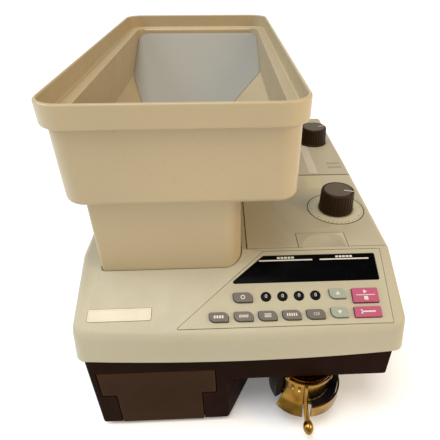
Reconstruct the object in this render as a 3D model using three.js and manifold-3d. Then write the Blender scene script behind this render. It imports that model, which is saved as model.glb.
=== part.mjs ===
// Desktop coin sorting and counting machine, built as an assembly of separate pieces.
// Millimetres. X runs across the front, Y to the rear and Z up from the table.
// Every piece is laid out in the machine frame, whose corner is the left end of the
// cover's front edge. The group is then moved so that its origin is the middle of the
// object's footprint.

import * as THREE from "three";
import { mergeVertices } from "three/addons/utils/BufferGeometryUtils.js";
import Module from "manifold-3d";

const wasm = await Module();
wasm.setup();

// ---------------------------------------------------------------- driving dimensions

const GAP = 0.4; // clearance between two pieces that meet
const DEG = Math.PI / 180;

const COVER = { x0: -1.5, x1: 269, rear: 400, bottom: 93, wall: 3, bow: 4.4, cornerR: 10 };
const FRONT = { topY: 6.6, topZ: 116.9 }; // front top edge, where the console starts
const CONSOLE_SLOPE = 24.8 * DEG;
const DECK = { frontY: 72.9, kneeY: 235, kneeZ: 150.5, rearY: 392 };
DECK.frontZ = FRONT.topZ + (DECK.frontY - FRONT.topY) * Math.tan(CONSOLE_SLOPE);

const BASE = { x0: 5.4, x1: 259.6, y0: 1, y1: 395, z0: 4, z1: 98, wall: 3 };
const RECESS = { cornerX: 121, slant: 0.512, rearY: 105, roof: 61 };
const FOOT = { radius: 9, height: BASE.z0 - 0.3 };

const NECK = { x0: 16.6, x1: 135.9, y0: 57.6, y1: 335, z0: 134, z1: 209, wall: 3, frontR: 15 };
const HOPPER = { x0: -2.2, x1: 184.3, y0: 42.7, y1: 419.9, z0: 209.4, z1: 287, cornerR: 22 };
const RIM = { z0: 269.4, step: 5, ledgeZ: 272.2, wall: 2.8 };

const LID = { x0: 141.5, y0: 73.8, y1: 205.8, skirtZ: 138.5 };
const LATCH = { x0: 187.5, x1: 232, y1: 94.3, scoopX: 210.5, scoopY: 71.8, scoopR: 19.4, scoopDepth: 5 };
const HINGE = { y: 209, z: 143.3, pinR: 1.5 };

const KNOB = { topR: 16, lowR: 17.1, height: 21, shaftR: 3 };
const KNOB_1 = { x: 234.2, y: 135.5 };
const KNOB_2 = { x: 240.9, y: 300.1 };
const DIAL = { innerR: 18, outerR: 28.3, thick: 0.6 };

const PANEL = { thick: 1, pocket: 1.3 };
const KEY = { top: 2.2, bottom: -4.6, flangeTop: -3.6, flange: 1.2 };

const SPOUT = { x: 192.5, y: 20, topZ: 60.6, endZ: 30, tubeR: 23.5, wall: 1.6, boreR: 17 };
const APRON = { from: 213, to: 260, lipR: 33, lipZ: 22.5 }; // angles in degrees round the spout
const COLLAR = { innerR: 24.2, beadR: 25.7, ringR: 30.6, skirtR: 32.5, ringZ: 44, skirtZ: 30 };
const COLLAR_ENDS = { ringFrom: -22, skirtFrom: 98, to: 210, rimFrom: -84 };
const HOOP = { innerR: 31.4, outerR: 33, z0: 22.5, z1: 36, from: -88, to: 95 };
const BAIL = { innerR: 24.2, outerR: 25.8, z0: 54.6, z1: 58.2, from: 221, to: 319 };
const STUD = { z: 57.6, radius: 2.2, innerR: 24.1, outerR: 26.6 };
const GRIP = { x: 191.3, frontY: -26, z: 16.5, radius: 4.6 };

const GATE = { bottomZ: 118, topZ: 121 };
const DISC = { x: 104, y: 200, radius: 84, topZ: 100, thick: 3 };
const PLATE = { z0: 84, z1: 87 };
const PULLEY = { z0: 66, z1: 76, discR: 28, motorR: 9, beltThick: 2 };
const MOTOR = { x: 190, y: 270, radius: 30, z0: 14, z1: 60 };
const RAIL = { x0: 182, x1: 219, y0: 40, y1: 165, topZ: 99 };
const ROLLER = { frontY: 95, rearY: 160, radius: 6, x0: 190.5, x1: 204.5, beltThick: 1.5 };
ROLLER.z = RAIL.topZ + 1.8 + ROLLER.beltThick + GAP + ROLLER.radius;

const DRAWER = { x0: 23.9, x1: 98.5, wingX0: 11.9, wingX1: 110.9, wingZ: 45, topZ: 75.1, depth: 122 };

// ---------------------------------------------------------------- materials

const finish = (color, roughness, metalness = 0) =>
  new THREE.MeshStandardMaterial({ color, roughness, metalness });

const BEIGE = finish(0xc8b592, 0.55);
const BROWN = finish(0x3a2418, 0.6);
const KNOB_BROWN = finish(0x3f3126, 0.45);
const BLACK = finish(0x0c0b0c, 0.3);
const KEY_GREY = finish(0x7b7468, 0.5);
const KEY_GREEN = finish(0xa4ab98, 0.5);
const KEY_ROSE = finish(0xb8597a, 0.5);
const PALE = finish(0xe4dfd6, 0.45);
const BRASS = finish(0xb08a3e, 0.25, 1);
const STEEL = finish(0x9a9a9c, 0.35, 1);
const RUBBER = finish(0x1a1a1a, 0.9);
const BOARD = finish(0x1f5a36, 0.6);

// ---------------------------------------------------------------- solid helpers

const { Manifold, Mesh: SolidMesh } = wasm;

// A closed three.js geometry as a solid: shared vertices merged, empty triangles dropped.
function solidOf(geometry) {
  const bare = geometry.index ? geometry.toNonIndexed() : geometry.clone();
  bare.deleteAttribute("normal");
  bare.deleteAttribute("uv");
  const welded = mergeVertices(bare, 1e-3);
  const corners = welded.index.array;
  const triangles = [];
  for (let i = 0; i < corners.length; i += 3) {
    const [a, b, c] = corners.slice(i, i + 3);
    if (a !== b && b !== c && c !== a) triangles.push(a, b, c);
  }
  return new Manifold(new SolidMesh({
    numProp: 3,
    vertProperties: new Float32Array(welded.attributes.position.array),
    triVerts: new Uint32Array(triangles),
  }));
}

function geometryOf(solid) {
  const mesh = solid.getMesh();
  const geometry = new THREE.BufferGeometry();
  geometry.setAttribute("position", new THREE.BufferAttribute(mesh.vertProperties, 3));
  geometry.setIndex(new THREE.BufferAttribute(mesh.triVerts, 1));
  geometry.computeVertexNormals();
  return geometry;
}

const joined = (solids) => solids.reduce((whole, solid) => whole.add(solid));
const without = (solid, cutters) => cutters.reduce((rest, cutter) => rest.subtract(cutter), solid);

const polygon = (points) => new THREE.Shape(points.map(([x, y]) => new THREE.Vector2(x, y)));

// Rectangle with its own radius at each corner, named by the side it is on.
function roundedRect(x0, x1, y0, y1, { fl = 0, fr = 0, br = 0, bl = 0 }) {
  const shape = new THREE.Shape();
  shape.moveTo(x0 + fl, y0);
  shape.lineTo(x1 - fr, y0);
  if (fr) shape.absarc(x1 - fr, y0 + fr, fr, -90 * DEG, 0);
  shape.lineTo(x1, y1 - br);
  if (br) shape.absarc(x1 - br, y1 - br, br, 0, 90 * DEG);
  shape.lineTo(x0 + bl, y1);
  if (bl) shape.absarc(x0 + bl, y1 - bl, bl, 90 * DEG, 180 * DEG);
  shape.lineTo(x0, y0 + fl);
  if (fl) shape.absarc(x0 + fl, y0 + fl, fl, 180 * DEG, 270 * DEG);
  return shape;
}

const evenRect = (x0, x1, y0, y1, r) => roundedRect(x0, x1, y0, y1, { fl: r, fr: r, br: r, bl: r });

// Upright prism of an outline drawn in X and Y.
function prismZ(shape, z0, z1, curveSegments = 3) {
  const options = { depth: z1 - z0, bevelEnabled: false, curveSegments };
  return solidOf(new THREE.ExtrudeGeometry(shape, options).translate(0, 0, z0));
}

// Prism along X of an outline drawn in Y and Z.
function prismX(shape, x0, x1, curveSegments = 3) {
  const options = { depth: x1 - x0, bevelEnabled: false, curveSegments };
  const turn = new THREE.Matrix4().makeBasis(
    new THREE.Vector3(0, 1, 0), new THREE.Vector3(0, 0, 1), new THREE.Vector3(1, 0, 0));
  return solidOf(new THREE.ExtrudeGeometry(shape, options).applyMatrix4(turn).translate(x0, 0, 0));
}

// Prism along Y of an outline drawn in X and Z.
function prismY(shape, y0, y1, curveSegments = 3) {
  const options = { depth: y1 - y0, bevelEnabled: false, curveSegments };
  return solidOf(new THREE.ExtrudeGeometry(shape, options).rotateX(90 * DEG).translate(0, y1, 0));
}

function box(x0, x1, y0, y1, z0, z1) {
  const block = new THREE.BoxGeometry(x1 - x0, y1 - y0, z1 - z0);
  return solidOf(block.translate((x0 + x1) / 2, (y0 + y1) / 2, (z0 + z1) / 2));
}

function post(x, y, lowR, topR, z0, z1, segments = 24) {
  const round = new THREE.CylinderGeometry(topR, lowR, z1 - z0, segments).rotateX(90 * DEG);
  return solidOf(round.translate(x, y, (z0 + z1) / 2));
}

function barX(x0, x1, y, z, radius, segments = 16) {
  const round = new THREE.CylinderGeometry(radius, radius, x1 - x0, segments).rotateZ(90 * DEG);
  return solidOf(round.translate((x0 + x1) / 2, y, z));
}

// Round bar between two points, with flat ends.
function bar(from, to, radius, segments = 5) {
  const start = new THREE.Vector3(...from);
  const line = new THREE.LineCurve3(start, new THREE.Vector3(...to));
  const section = new THREE.Shape().absarc(0, 0, radius, 0, 360 * DEG);
  const options = { extrudePath: line, steps: 1, curveSegments: segments, bevelEnabled: false };
  return solidOf(new THREE.ExtrudeGeometry(section, options));
}

// Solid of revolution round an upright axis, from a profile of [radius, height] points
// that runs anticlockwise round its own material.
function turned(profile, x, y, segments = 40) {
  const points = profile.map(([r, z]) => new THREE.Vector2(r, z));
  return solidOf(new THREE.LatheGeometry(points, segments).rotateX(90 * DEG).translate(x, y, 0));
}

// Sector of a flat ring, between two angles.
function ringSector(x, y, innerR, outerR, from, to) {
  const shape = new THREE.Shape();
  shape.absarc(x, y, outerR, from * DEG, to * DEG, false);
  shape.absarc(x, y, innerR, to * DEG, from * DEG, true);
  return shape;
}

// ---------------------------------------------------------------- the scene

const machine = new THREE.Group();
machine.position.set(
  -(HOPPER.x0 + COVER.x1) / 2,
  -(GRIP.frontY + HOPPER.y1) / 2,
  0,
);

// The console plane: X across, Y up the slope from the front top edge, Z out of it.
const consolePlane = new THREE.Group();
consolePlane.position.set(0, FRONT.topY, FRONT.topZ);
consolePlane.rotation.x = CONSOLE_SLOPE;
consolePlane.updateMatrix();
machine.add(consolePlane);

function place(name, solid, material, parent = machine) {
  const mesh = new THREE.Mesh(geometryOf(solid), material);
  mesh.name = name;
  parent.add(mesh);
  return mesh;
}

// A console outline as a cutter in the machine frame, from one depth to another.
function consolePrism(shape, low, high, curveSegments = 2) {
  const options = { depth: high - low, bevelEnabled: false, curveSegments };
  const geometry = new THREE.ExtrudeGeometry(shape, options).translate(0, 0, low);
  return solidOf(geometry.applyMatrix4(consolePlane.matrix));
}

// ---------------------------------------------------------------- outlines on the console

// The panel and the display share the slant of their left ends.
const panelOutline = (grow) => polygon([
  [81 - 1.7 * grow, 2 - grow], [257.5 + grow, 2 - grow],
  [259.5 + grow, 70.5 + grow], [155 - 0.6 * grow, 70.5 + grow],
]);
const displayOutline = (grow) => polygon([
  [126 - 1.9 * grow, 40.5 - grow], [253 + grow, 40.5 - grow],
  [253 + grow, 65.5 + grow], [155 - 0.6 * grow, 65.5 + grow],
]);

// Leaf-shaped key cap: two opposite corners are strongly rounded.
const leafOutline = ({ x0, x1, s0, s1 }, grow) =>
  roundedRect(x0 - grow, x1 + grow, s0 - grow, s1 + grow, { fl: 4.6 + grow, br: 4.6 + grow });

const plainOutline = ({ x0, x1, s0, s1 }, grow) =>
  roundedRect(x0 - grow, x1 + grow, s0 - grow, s1 + grow, {});

const UPPER_ROW = { s0: 23, s1: 31.5 };
const LOWER_ROW = { s0: 7, s1: 15 };
const KEYS = [
  { name: "key_mode", x0: 127.7, x1: 143.6, ...UPPER_ROW, outline: leafOutline, material: KEY_GREY },
  { name: "key_function", x0: 107.9, x1: 123.4, ...LOWER_ROW, outline: leafOutline, material: KEY_GREY },
  { name: "key_type", x0: 128, x1: 143.4, ...LOWER_ROW, outline: leafOutline, material: KEY_GREY },
  { name: "key_set", x0: 147.7, x1: 162.8, ...LOWER_ROW, outline: leafOutline, material: KEY_GREY },
  { name: "key_batch", x0: 167.3, x1: 182.5, ...LOWER_ROW, outline: leafOutline, material: KEY_GREY },
  { name: "key_count", x0: 187, x1: 202.2, ...LOWER_ROW, outline: leafOutline, material: KEY_GREY },
  { name: "key_up", x0: 208, x1: 221.7, s0: 23.8, s1: 32.6, outline: leafOutline, material: KEY_GREEN },
  { name: "key_down", x0: 207.2, x1: 221, s0: 7.6, s1: 16.2, outline: leafOutline, material: KEY_GREEN },
  { name: "key_start_stop", x0: 227, x1: 248.6, s0: 19.7, s1: 32.3, outline: plainOutline, material: KEY_ROSE },
  { name: "key_clear", x0: 226.4, x1: 248.5, s0: 7.2, s1: 16, outline: plainOutline, material: KEY_ROSE },
];
const DIGIT_BUTTONS = [154.9, 168.7, 182.5, 196.3].map((x, i) =>
  ({ name: `digit_button_${i + 1}`, x, s: 27.7, radius: 4 }));
const disc = ({ x, s, radius }, grow) => new THREE.Shape().absarc(x, s, radius + grow, 0, 360 * DEG);

// ---------------------------------------------------------------- upper cover

// The whole form of the cover, inset from its outer skin, with an open underside.
function coverForm(inset) {
  const lean = FRONT.topY / (FRONT.topZ - COVER.bottom);
  const left = COVER.x0 + inset;
  const right = COVER.x1 - inset;
  const r = COVER.cornerR - inset;
  const floor = COVER.bottom - 2 * inset;
  const drop = inset / Math.cos(CONSOLE_SLOPE);
  const reach = -12;
  const plan = new THREE.Shape();
  plan.moveTo(left, r + inset);
  plan.quadraticCurveTo(left, inset, left + r, inset - 0.6);
  plan.quadraticCurveTo((left + right) / 2, inset - 2 * COVER.bow + 1, right - r, inset - 0.6);
  plan.quadraticCurveTo(right, inset, right, r + inset);
  plan.lineTo(right, COVER.rear + 40);
  plan.lineTo(left, COVER.rear + 40);
  const shear = new THREE.Matrix4().makeShear(0, 0, 0, 0, 0, lean);
  const raised = { depth: 80, bevelEnabled: false, curveSegments: 7 };
  const leaning = new THREE.ExtrudeGeometry(plan, raised).applyMatrix4(shear)
    .translate(0, lean * (floor - COVER.bottom), floor);
  const side = polygon([
    [reach, floor - 1],
    [COVER.rear - inset, floor - 1],
    [COVER.rear - inset, DECK.kneeZ - 7 - inset],
    [DECK.rearY - inset, DECK.kneeZ - inset],
    [DECK.kneeY, DECK.kneeZ - inset],
    [DECK.frontY, DECK.frontZ - drop],
    [reach, FRONT.topZ - (FRONT.topY - reach) * Math.tan(CONSOLE_SLOPE) - drop],
  ]);
  return solidOf(leaning).intersect(prismX(side, left, right));
}

const outerForm = coverForm(0);
const coverShell = outerForm.subtract(coverForm(COVER.wall));
const deckHeight = (y) =>
  DECK.frontZ + (DECK.kneeZ - DECK.frontZ) * Math.min(1, (y - DECK.frontY) / (DECK.kneeY - DECK.frontY));

const nameplateOutline = (grow) => evenRect(10.3 - grow, 61 + grow, 10.8 - grow, 21.1 + grow, 0.6);
const neckPlan = (grow) => roundedRect(
  NECK.x0 - grow, NECK.x1 + grow, NECK.y0 - grow, NECK.y1 + grow,
  { fl: 3, fr: NECK.frontR, br: 8, bl: 8 });

const consoleCutters = [
  consolePrism(panelOutline(0), -PANEL.pocket, 5),
  consolePrism(displayOutline(GAP), -8, 5),
  consolePrism(nameplateOutline(0.3), -0.7, 5),
  ...KEYS.map((key) => consolePrism(key.outline(key, GAP), -8, 5)),
  ...DIGIT_BUTTONS.map((button) => consolePrism(disc(button, GAP), -8, 5, 6)),
];
const LID_HOLE = { x0: LID.x0 - 0.8, y0: LID.y0 - 0.6, y1: LID.y1 + 2.4, z0: LID.skirtZ - 0.7 };

place("upper_cover", without(coverShell.intersect(box(-5, 270, -20, 410, COVER.bottom, 200)), [
  prismZ(neckPlan(GAP), 120, 180),
  box(LID_HOLE.x0, 300, LID_HOLE.y0, LID_HOLE.y1, LID_HOLE.z0, 200),
  post(KNOB_2.x, KNOB_2.y, KNOB.shaftR + GAP, KNOB.shaftR + GAP, 130, 160),
  ...consoleCutters,
]), BEIGE);

// ---------------------------------------------------------------- console pieces

place("panel_overlay", without(prismZ(panelOutline(-GAP), -PANEL.thick, 0), [
  prismZ(displayOutline(GAP), -5, 5),
  ...KEYS.map((key) => prismZ(key.outline(key, GAP), -5, 5, 2)),
  ...DIGIT_BUTTONS.map((button) => prismZ(disc(button, GAP), -5, 5, 6)),
]), BEIGE, consolePlane);

place("display_window", prismZ(displayOutline(0), -2.4, 0.2), BLACK, consolePlane);
place("nameplate", prismZ(nameplateOutline(0), -0.4, 0.3), PALE, consolePlane);

for (const key of KEYS) {
  const cap = prismZ(key.outline(key, 0), KEY.bottom, KEY.top, 2);
  const flange = prismZ(plainOutline(key, KEY.flange), KEY.bottom, KEY.flangeTop);
  place(key.name, cap.add(flange), key.material, consolePlane);
}
for (const button of DIGIT_BUTTONS) {
  const cap = prismZ(disc(button, 0), KEY.bottom, 1.2, 6);
  const flange = prismZ(disc(button, KEY.flange), KEY.bottom, KEY.flangeTop, 4);
  place(button.name, cap.add(flange), BLACK, consolePlane);
}
const keypadPlan = polygon([[100, 4], [254, 4], [254, 68], [140, 68], [140, 37], [100, 37]]);
place("keypad_board", prismZ(keypadPlan, -9, -7.4), BOARD, consolePlane);

// ---------------------------------------------------------------- deck lid and its latch

// Flat ring that lies on the deck's slight slope, from one height over the surface to another.
function turnedAt({ x, y }, innerR, outerR, low, high) {
  const profile = [[innerR, low], [outerR, low], [outerR, high], [innerR, high], [innerR, low]];
  const points = profile.map(([r, z]) => new THREE.Vector2(r, z));
  const tilt = Math.atan2(DECK.kneeZ - DECK.frontZ, DECK.kneeY - DECK.frontY);
  const ring = new THREE.LatheGeometry(points, 32).rotateX(90 * DEG + tilt);
  return solidOf(ring.translate(x, y, deckHeight(y)));
}

const latchBox = (grow) => box(LATCH.x0 - grow, LATCH.x1 + grow, LID.y0 - grow * 4, LATCH.y1 + grow, 120, 170);
const sphereR = (LATCH.scoopR ** 2 + LATCH.scoopDepth ** 2) / (2 * LATCH.scoopDepth);
const scoop = solidOf(new THREE.SphereGeometry(sphereR, 32, 32)
  .translate(LATCH.scoopX, LATCH.scoopY, deckHeight(LATCH.scoopY) + sphereR - LATCH.scoopDepth));

function hingeLug(x0) {
  const ring = barX(x0, x0 + 4, HINGE.y, HINGE.z, 3.3);
  const web = box(x0, x0 + 4, HINGE.y - 12, HINGE.y, HINGE.z - 3, HINGE.z + 2.2);
  const root = box(x0, x0 + 4, HINGE.y - 12, LID.y1 - 1, HINGE.z, HINGE.z + 5.2);
  return joined([ring, web, root]);
}

const LID_BOX = box(LID.x0, 300, LID.y0, LID.y1, LID.skirtZ, 200);
const lidShell = coverShell.intersect(LID_BOX);
const dialPocket = turnedAt(KNOB_1, DIAL.innerR - 0.3, DIAL.outerR + 0.3, -0.9, 3);
place("deck_lid", without(joined([lidShell, hingeLug(152), hingeLug(246)]), [
  latchBox(GAP),
  dialPocket,
  post(KNOB_1.x, KNOB_1.y, KNOB.shaftR + GAP, KNOB.shaftR + GAP, 130, 160),
  barX(140, 262, HINGE.y, HINGE.z, HINGE.pinR + 0.35),
]), BEIGE);

place("lid_hinge_pin", barX(145, 258, HINGE.y, HINGE.z, HINGE.pinR), STEEL);

const dishBlock = box(LATCH.x0 + 2, LATCH.x1 - 2, LID.y0, LATCH.y1 - 2, DECK.frontZ - 8, DECK.frontZ);
place("lid_latch", coverShell.add(dishBlock.intersect(outerForm))
  .intersect(box(LATCH.x0, LATCH.x1, LID.y0, LATCH.y1, 120, 170)).subtract(scoop), BEIGE);

place("dial_ring", turnedAt(KNOB_1, DIAL.innerR, DIAL.outerR, -DIAL.thick, 0.05), PALE);

// ---------------------------------------------------------------- knobs

function knob({ x, y }, seatZ, shaftZ, flangeR) {
  const body = post(x, y, KNOB.lowR, KNOB.topR, seatZ, seatZ + KNOB.height, 30);
  const shaft = post(x, y, KNOB.shaftR, KNOB.shaftR, shaftZ, seatZ + 1, 16);
  const flange = post(x, y, flangeR, flangeR, seatZ, seatZ + 1.5, 30);
  const pointer = box(x + 4, x + 20, y - 0.6, y + 0.6, seatZ + KNOB.height - 0.8, seatZ + 40);
  return joined([body, shaft, flange]).subtract(pointer);
}
place("knob_diameter", knob(KNOB_1, deckHeight(KNOB_1.y) + 0.9, 112, KNOB.lowR), KNOB_BROWN);
place("knob_thickness", knob(KNOB_2, DECK.kneeZ + 0.5, GATE.topZ + 3.2, KNOB.lowR + 0.9), KNOB_BROWN);

// ---------------------------------------------------------------- feeder housing and hopper

const funnelX = (NECK.x0 + NECK.x1) / 2;
const funnelY = (NECK.y0 + NECK.y1) / 2;
const FUNNEL = { z0: DISC.topZ + 4, z1: 150, halfX: 55.4, halfY: 134.5, ratio: 0.45 };

// Four-sided funnel, its top as wide as the housing and its bottom over the disc.
function funnel(grow, z0, z1) {
  const side = Math.SQRT1_2 * 2;
  const cone = new THREE.CylinderGeometry(side, side * FUNNEL.ratio, z1 - z0, 4, 1);
  cone.rotateY(45 * DEG).rotateX(90 * DEG).scale(FUNNEL.halfX + grow, FUNNEL.halfY + grow, 1);
  return solidOf(cone.translate(funnelX, funnelY, (z0 + z1) / 2));
}
const neckInner = roundedRect(
  NECK.x0 + NECK.wall, NECK.x1 - NECK.wall, NECK.y0 + NECK.wall, NECK.y1 - NECK.wall,
  { fl: 1, fr: NECK.frontR - NECK.wall, br: 5, bl: 5 });
place("feeder_housing", without(joined([
  prismZ(neckPlan(0), NECK.z0, NECK.z1),
  funnel(2.5, FUNNEL.z0, FUNNEL.z1).intersect(prismZ(neckPlan(0), FUNNEL.z0 - 1, NECK.z1)),
]), [
  prismZ(neckInner, FUNNEL.z1, NECK.z1 + 5),
  funnel(0, FUNNEL.z0, FUNNEL.z1 + 0.01),
  box(0, 160, 0, 400, FUNNEL.z0 - 1, FUNNEL.z0 + 0.4),
  prismZ(neckInner, NECK.z0 - 1, FUNNEL.z1 - 3).subtract(funnel(2.5, FUNNEL.z0, FUNNEL.z1)),
]), BEIGE);

// Rounded block with rounded lower edges, for the hopper's body.
function hopperBody() {
  const round = 4.5;
  const plan = evenRect(
    HOPPER.x0 + RIM.step + round, HOPPER.x1 - RIM.step - round,
    HOPPER.y0 + RIM.step + round, HOPPER.y1 - RIM.step - round,
    HOPPER.cornerR - RIM.step - round);
  const options = {
    depth: RIM.z0 + 12 - HOPPER.z0 - 2 * round, curveSegments: 3,
    bevelEnabled: true, bevelSize: round, bevelThickness: round, bevelSegments: 2,
  };
  return solidOf(new THREE.ExtrudeGeometry(plan, options).translate(0, 0, HOPPER.z0 + round));
}

// What the coins fill: straight walls at the top, and ramps on all four sides that run
// down from the height given for each side to the mouth in the floor.
const CAVITY = { x0: 12, x1: 171.5, y0: 53, y1: 407, topZ: 280 };
const MOUTH = { x0: 29, x1: 132, y0: 62, y1: 274 };
const RAMP_TOP = { left: 232.5, right: 234, front: 224, back: 266 };
const under = HOPPER.z0 - 5;
const lengthwise = polygon([
  [CAVITY.y0, CAVITY.topZ], [CAVITY.y0, RAMP_TOP.front], [MOUTH.y0, HOPPER.z0], [MOUTH.y0, under],
  [MOUTH.y1, under], [MOUTH.y1, HOPPER.z0], [CAVITY.y1, RAMP_TOP.back], [CAVITY.y1, CAVITY.topZ],
]);
const crosswise = polygon([
  [CAVITY.x0, CAVITY.topZ], [CAVITY.x0, RAMP_TOP.left], [MOUTH.x0, HOPPER.z0], [MOUTH.x0, under],
  [MOUTH.x1, under], [MOUTH.x1, HOPPER.z0], [CAVITY.x1, RAMP_TOP.right], [CAVITY.x1, CAVITY.topZ],
]);
const coinSpace = prismX(lengthwise, 0, 190)
  .intersect(prismY(crosswise, 0, 440))
  .intersect(prismZ(evenRect(CAVITY.x0, CAVITY.x1, CAVITY.y0, CAVITY.y1, 13), 190, 290, 3));
const rimSpace = evenRect(
  HOPPER.x0 + RIM.wall, HOPPER.x1 - RIM.wall, HOPPER.y0 + RIM.wall, HOPPER.y1 - RIM.wall,
  HOPPER.cornerR - RIM.wall);

// The space under a stretch of the back ramp, open below, from one Y to another.
const RAMP_DROP = 3.4; // height of the ramp's wall
const backSlope = (RAMP_TOP.back - HOPPER.z0) / (CAVITY.y1 - MOUTH.y1);
const rampUnderside = (y) => HOPPER.z0 + backSlope * (Math.min(y, CAVITY.y1 - 3) - MOUTH.y1) - RAMP_DROP;
const hollowBackRamp = (y0, y1) => prismX(polygon([
  [y0, under], [y1, under], [y1, rampUnderside(y1)], [Math.min(y1, CAVITY.y1 - 3), rampUnderside(y1)],
  [y0, rampUnderside(y0)],
]), 17, 165);
const hollowRightRamp = polygon([
  [MOUTH.x1 + 9, under], [CAVITY.x1 + 2, under], [CAVITY.x1 + 2, RAMP_TOP.right - 5],
]);

place("hopper", without(joined([
  prismZ(evenRect(HOPPER.x0, HOPPER.x1, HOPPER.y0, HOPPER.y1, HOPPER.cornerR), RIM.z0, HOPPER.z1, 4),
  hopperBody(),
]), [
  prismZ(rimSpace, RIM.ledgeZ, HOPPER.z1 + 5, 4),
  coinSpace,
  hollowBackRamp(NECK.y1 + 3, HOPPER.y1 - 9),
  hollowBackRamp(MOUTH.y1 + 20, NECK.y1 - NECK.wall - 1),
  prismY(hollowRightRamp, MOUTH.y0, MOUTH.y1),
]), BEIGE);

// ---------------------------------------------------------------- base housing, feet, chassis

// Plan of the full-height part: the recess under the tray is cut out of its front right.
function fullHeightPlan(inset) {
  const skew = 0.612 * inset;
  const slantX = RECESS.cornerX + (RECESS.rearY - BASE.y0) * RECESS.slant;
  return polygon([
    [BASE.x0 + inset, BASE.y0 + inset],
    [RECESS.cornerX - skew, BASE.y0 + inset],
    [slantX - skew, RECESS.rearY + inset],
    [BASE.x1 - inset, RECESS.rearY + inset],
    [BASE.x1 - inset, BASE.y1 - inset],
    [BASE.x0 + inset, BASE.y1 - inset],
  ]);
}
const trayBox = (inset, z1) => box(
  BASE.x0 + inset, BASE.x1 - inset, BASE.y0 + inset, RECESS.rearY + 20, RECESS.roof + inset, z1);
const baseFloor = BASE.z0 + BASE.wall;
const CHASSIS_POSTS = [[16, 140], [16, 380], [248, 380], [248, 120]];
const vents = Array.from({ length: 6 }, (_, i) => box(150 + 10 * i, 154 + 10 * i, 390, 400, 25, 62));
const drawerHole = joined([
  box(DRAWER.x0 - GAP, DRAWER.x1 + GAP, -2, 4.5, 0, DRAWER.wingZ + 1),
  box(DRAWER.wingX0 - GAP, DRAWER.wingX1 + GAP, -2, 4.5, DRAWER.wingZ - GAP, DRAWER.topZ + GAP),
]);
const INLET = { x0: 30, x1: 58, z0: 25, z1: 48 };
const SWITCH = { x0: 66, x1: 88, z0: 27, z1: 46 };
const rearHole = ({ x0, x1, z0, z1 }) => box(x0 - GAP, x1 + GAP, 390, 400, z0 - GAP, z1 + GAP);

// The walls reach up inside the cover, except at the front, where the cover stands on them.
const coverSeat = box(-10, 300, -10, 8, COVER.bottom - GAP, 120);
const baseShell = prismZ(fullHeightPlan(0), BASE.z0, BASE.z1).add(trayBox(0, BASE.z1)).subtract(coverSeat);
const baseInside = prismZ(fullHeightPlan(BASE.wall), baseFloor, 120).add(trayBox(BASE.wall, 120));
place("base_housing", without(joined([
  baseShell.subtract(baseInside),
  ...CHASSIS_POSTS.map(([x, y]) => post(x, y, 5, 5, BASE.z0 + 1, PLATE.z0 - 0.3, 12)),
]), [
  drawerHole,
  post(SPOUT.x, SPOUT.y, SPOUT.boreR, SPOUT.boreR, RECESS.roof - 2, RECESS.roof + 6),
  ...vents,
  rearHole(INLET),
  rearHole(SWITCH),
]), BROWN);

const FEET = {
  foot_front_left: [16, 15], foot_front_centre: [106, 15], foot_right: [243, 120],
  foot_rear_left: [22, 380], foot_rear_right: [243, 380],
};
for (const [name, [x, y]] of Object.entries(FEET)) {
  place(name, post(x, y, FOOT.radius, FOOT.radius - 1, 0, FOOT.height, 20), RUBBER);
}

const platePlan = evenRect(10, 255, 62, 388, 4);
place("chassis_plate", prismZ(platePlan, PLATE.z0, PLATE.z1, 2)
  .subtract(post(DISC.x, DISC.y, 9.4, 9.4, 80, 90)), STEEL);

// ---------------------------------------------------------------- reject drawer

const panelBack = 4;
const boxX0 = 26;
const boxX1 = 96.4;
const drawerTray = box(boxX0, boxX1, panelBack - 0.5, DRAWER.depth, 8, 68)
  .subtract(box(boxX0 + 2, boxX1 - 2, panelBack + 2, DRAWER.depth - 2, 10, 80));
place("reject_drawer", joined([
  box(DRAWER.x0, DRAWER.x1, BASE.y0, panelBack, BASE.z0 + GAP, DRAWER.wingZ + 1),
  box(DRAWER.wingX0, DRAWER.wingX1, BASE.y0, panelBack, DRAWER.wingZ, DRAWER.topZ),
  drawerTray,
]), BROWN);

// ---------------------------------------------------------------- outlet spout and bag clamp

const sectorRound = (innerR, outerR, from, to) => ringSector(SPOUT.x, SPOUT.y, innerR, outerR, from, to);

// Tube with a rolled bead at its lower end, and a flared apron round its front left.
const tubeInnerR = SPOUT.tubeR - SPOUT.wall;
const tubeProfile = [
  [tubeInnerR, SPOUT.topZ], [tubeInnerR, SPOUT.endZ - 1], [SPOUT.tubeR + 1.1, SPOUT.endZ - 1.2],
  [SPOUT.tubeR + 1.7, SPOUT.endZ], [SPOUT.tubeR + 1.1, SPOUT.endZ + 1], [SPOUT.tubeR, SPOUT.endZ + 1.6],
  [SPOUT.tubeR, SPOUT.topZ], [tubeInnerR, SPOUT.topZ],
];
const apronProfile = [
  [22.6, 43], [22.9, 35], [24.8, 28.8], [28, 24], [APRON.lipR - 0.9, APRON.lipZ - 1.3],
  [APRON.lipR, APRON.lipZ], [29.4, 25.6], [26.6, 29.8], [24.5, 35.5], [23.7, 43], [22.6, 43],
];
const tubeFront = prismZ(sectorRound(0.5, SPOUT.tubeR - 0.5, 225, 315), SPOUT.topZ - 1, SPOUT.topZ, 7)
  .intersect(box(150, 240, -20, SPOUT.y - SPOUT.boreR, 50, 70));
const apron = turned(apronProfile, SPOUT.x, SPOUT.y, 30)
  .intersect(prismZ(sectorRound(20, 40, APRON.from, APRON.to), 0, 60, 3));
place("outlet_spout", joined([turned(tubeProfile, SPOUT.x, SPOUT.y, 30), apron, tubeFront]), BRASS);

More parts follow.
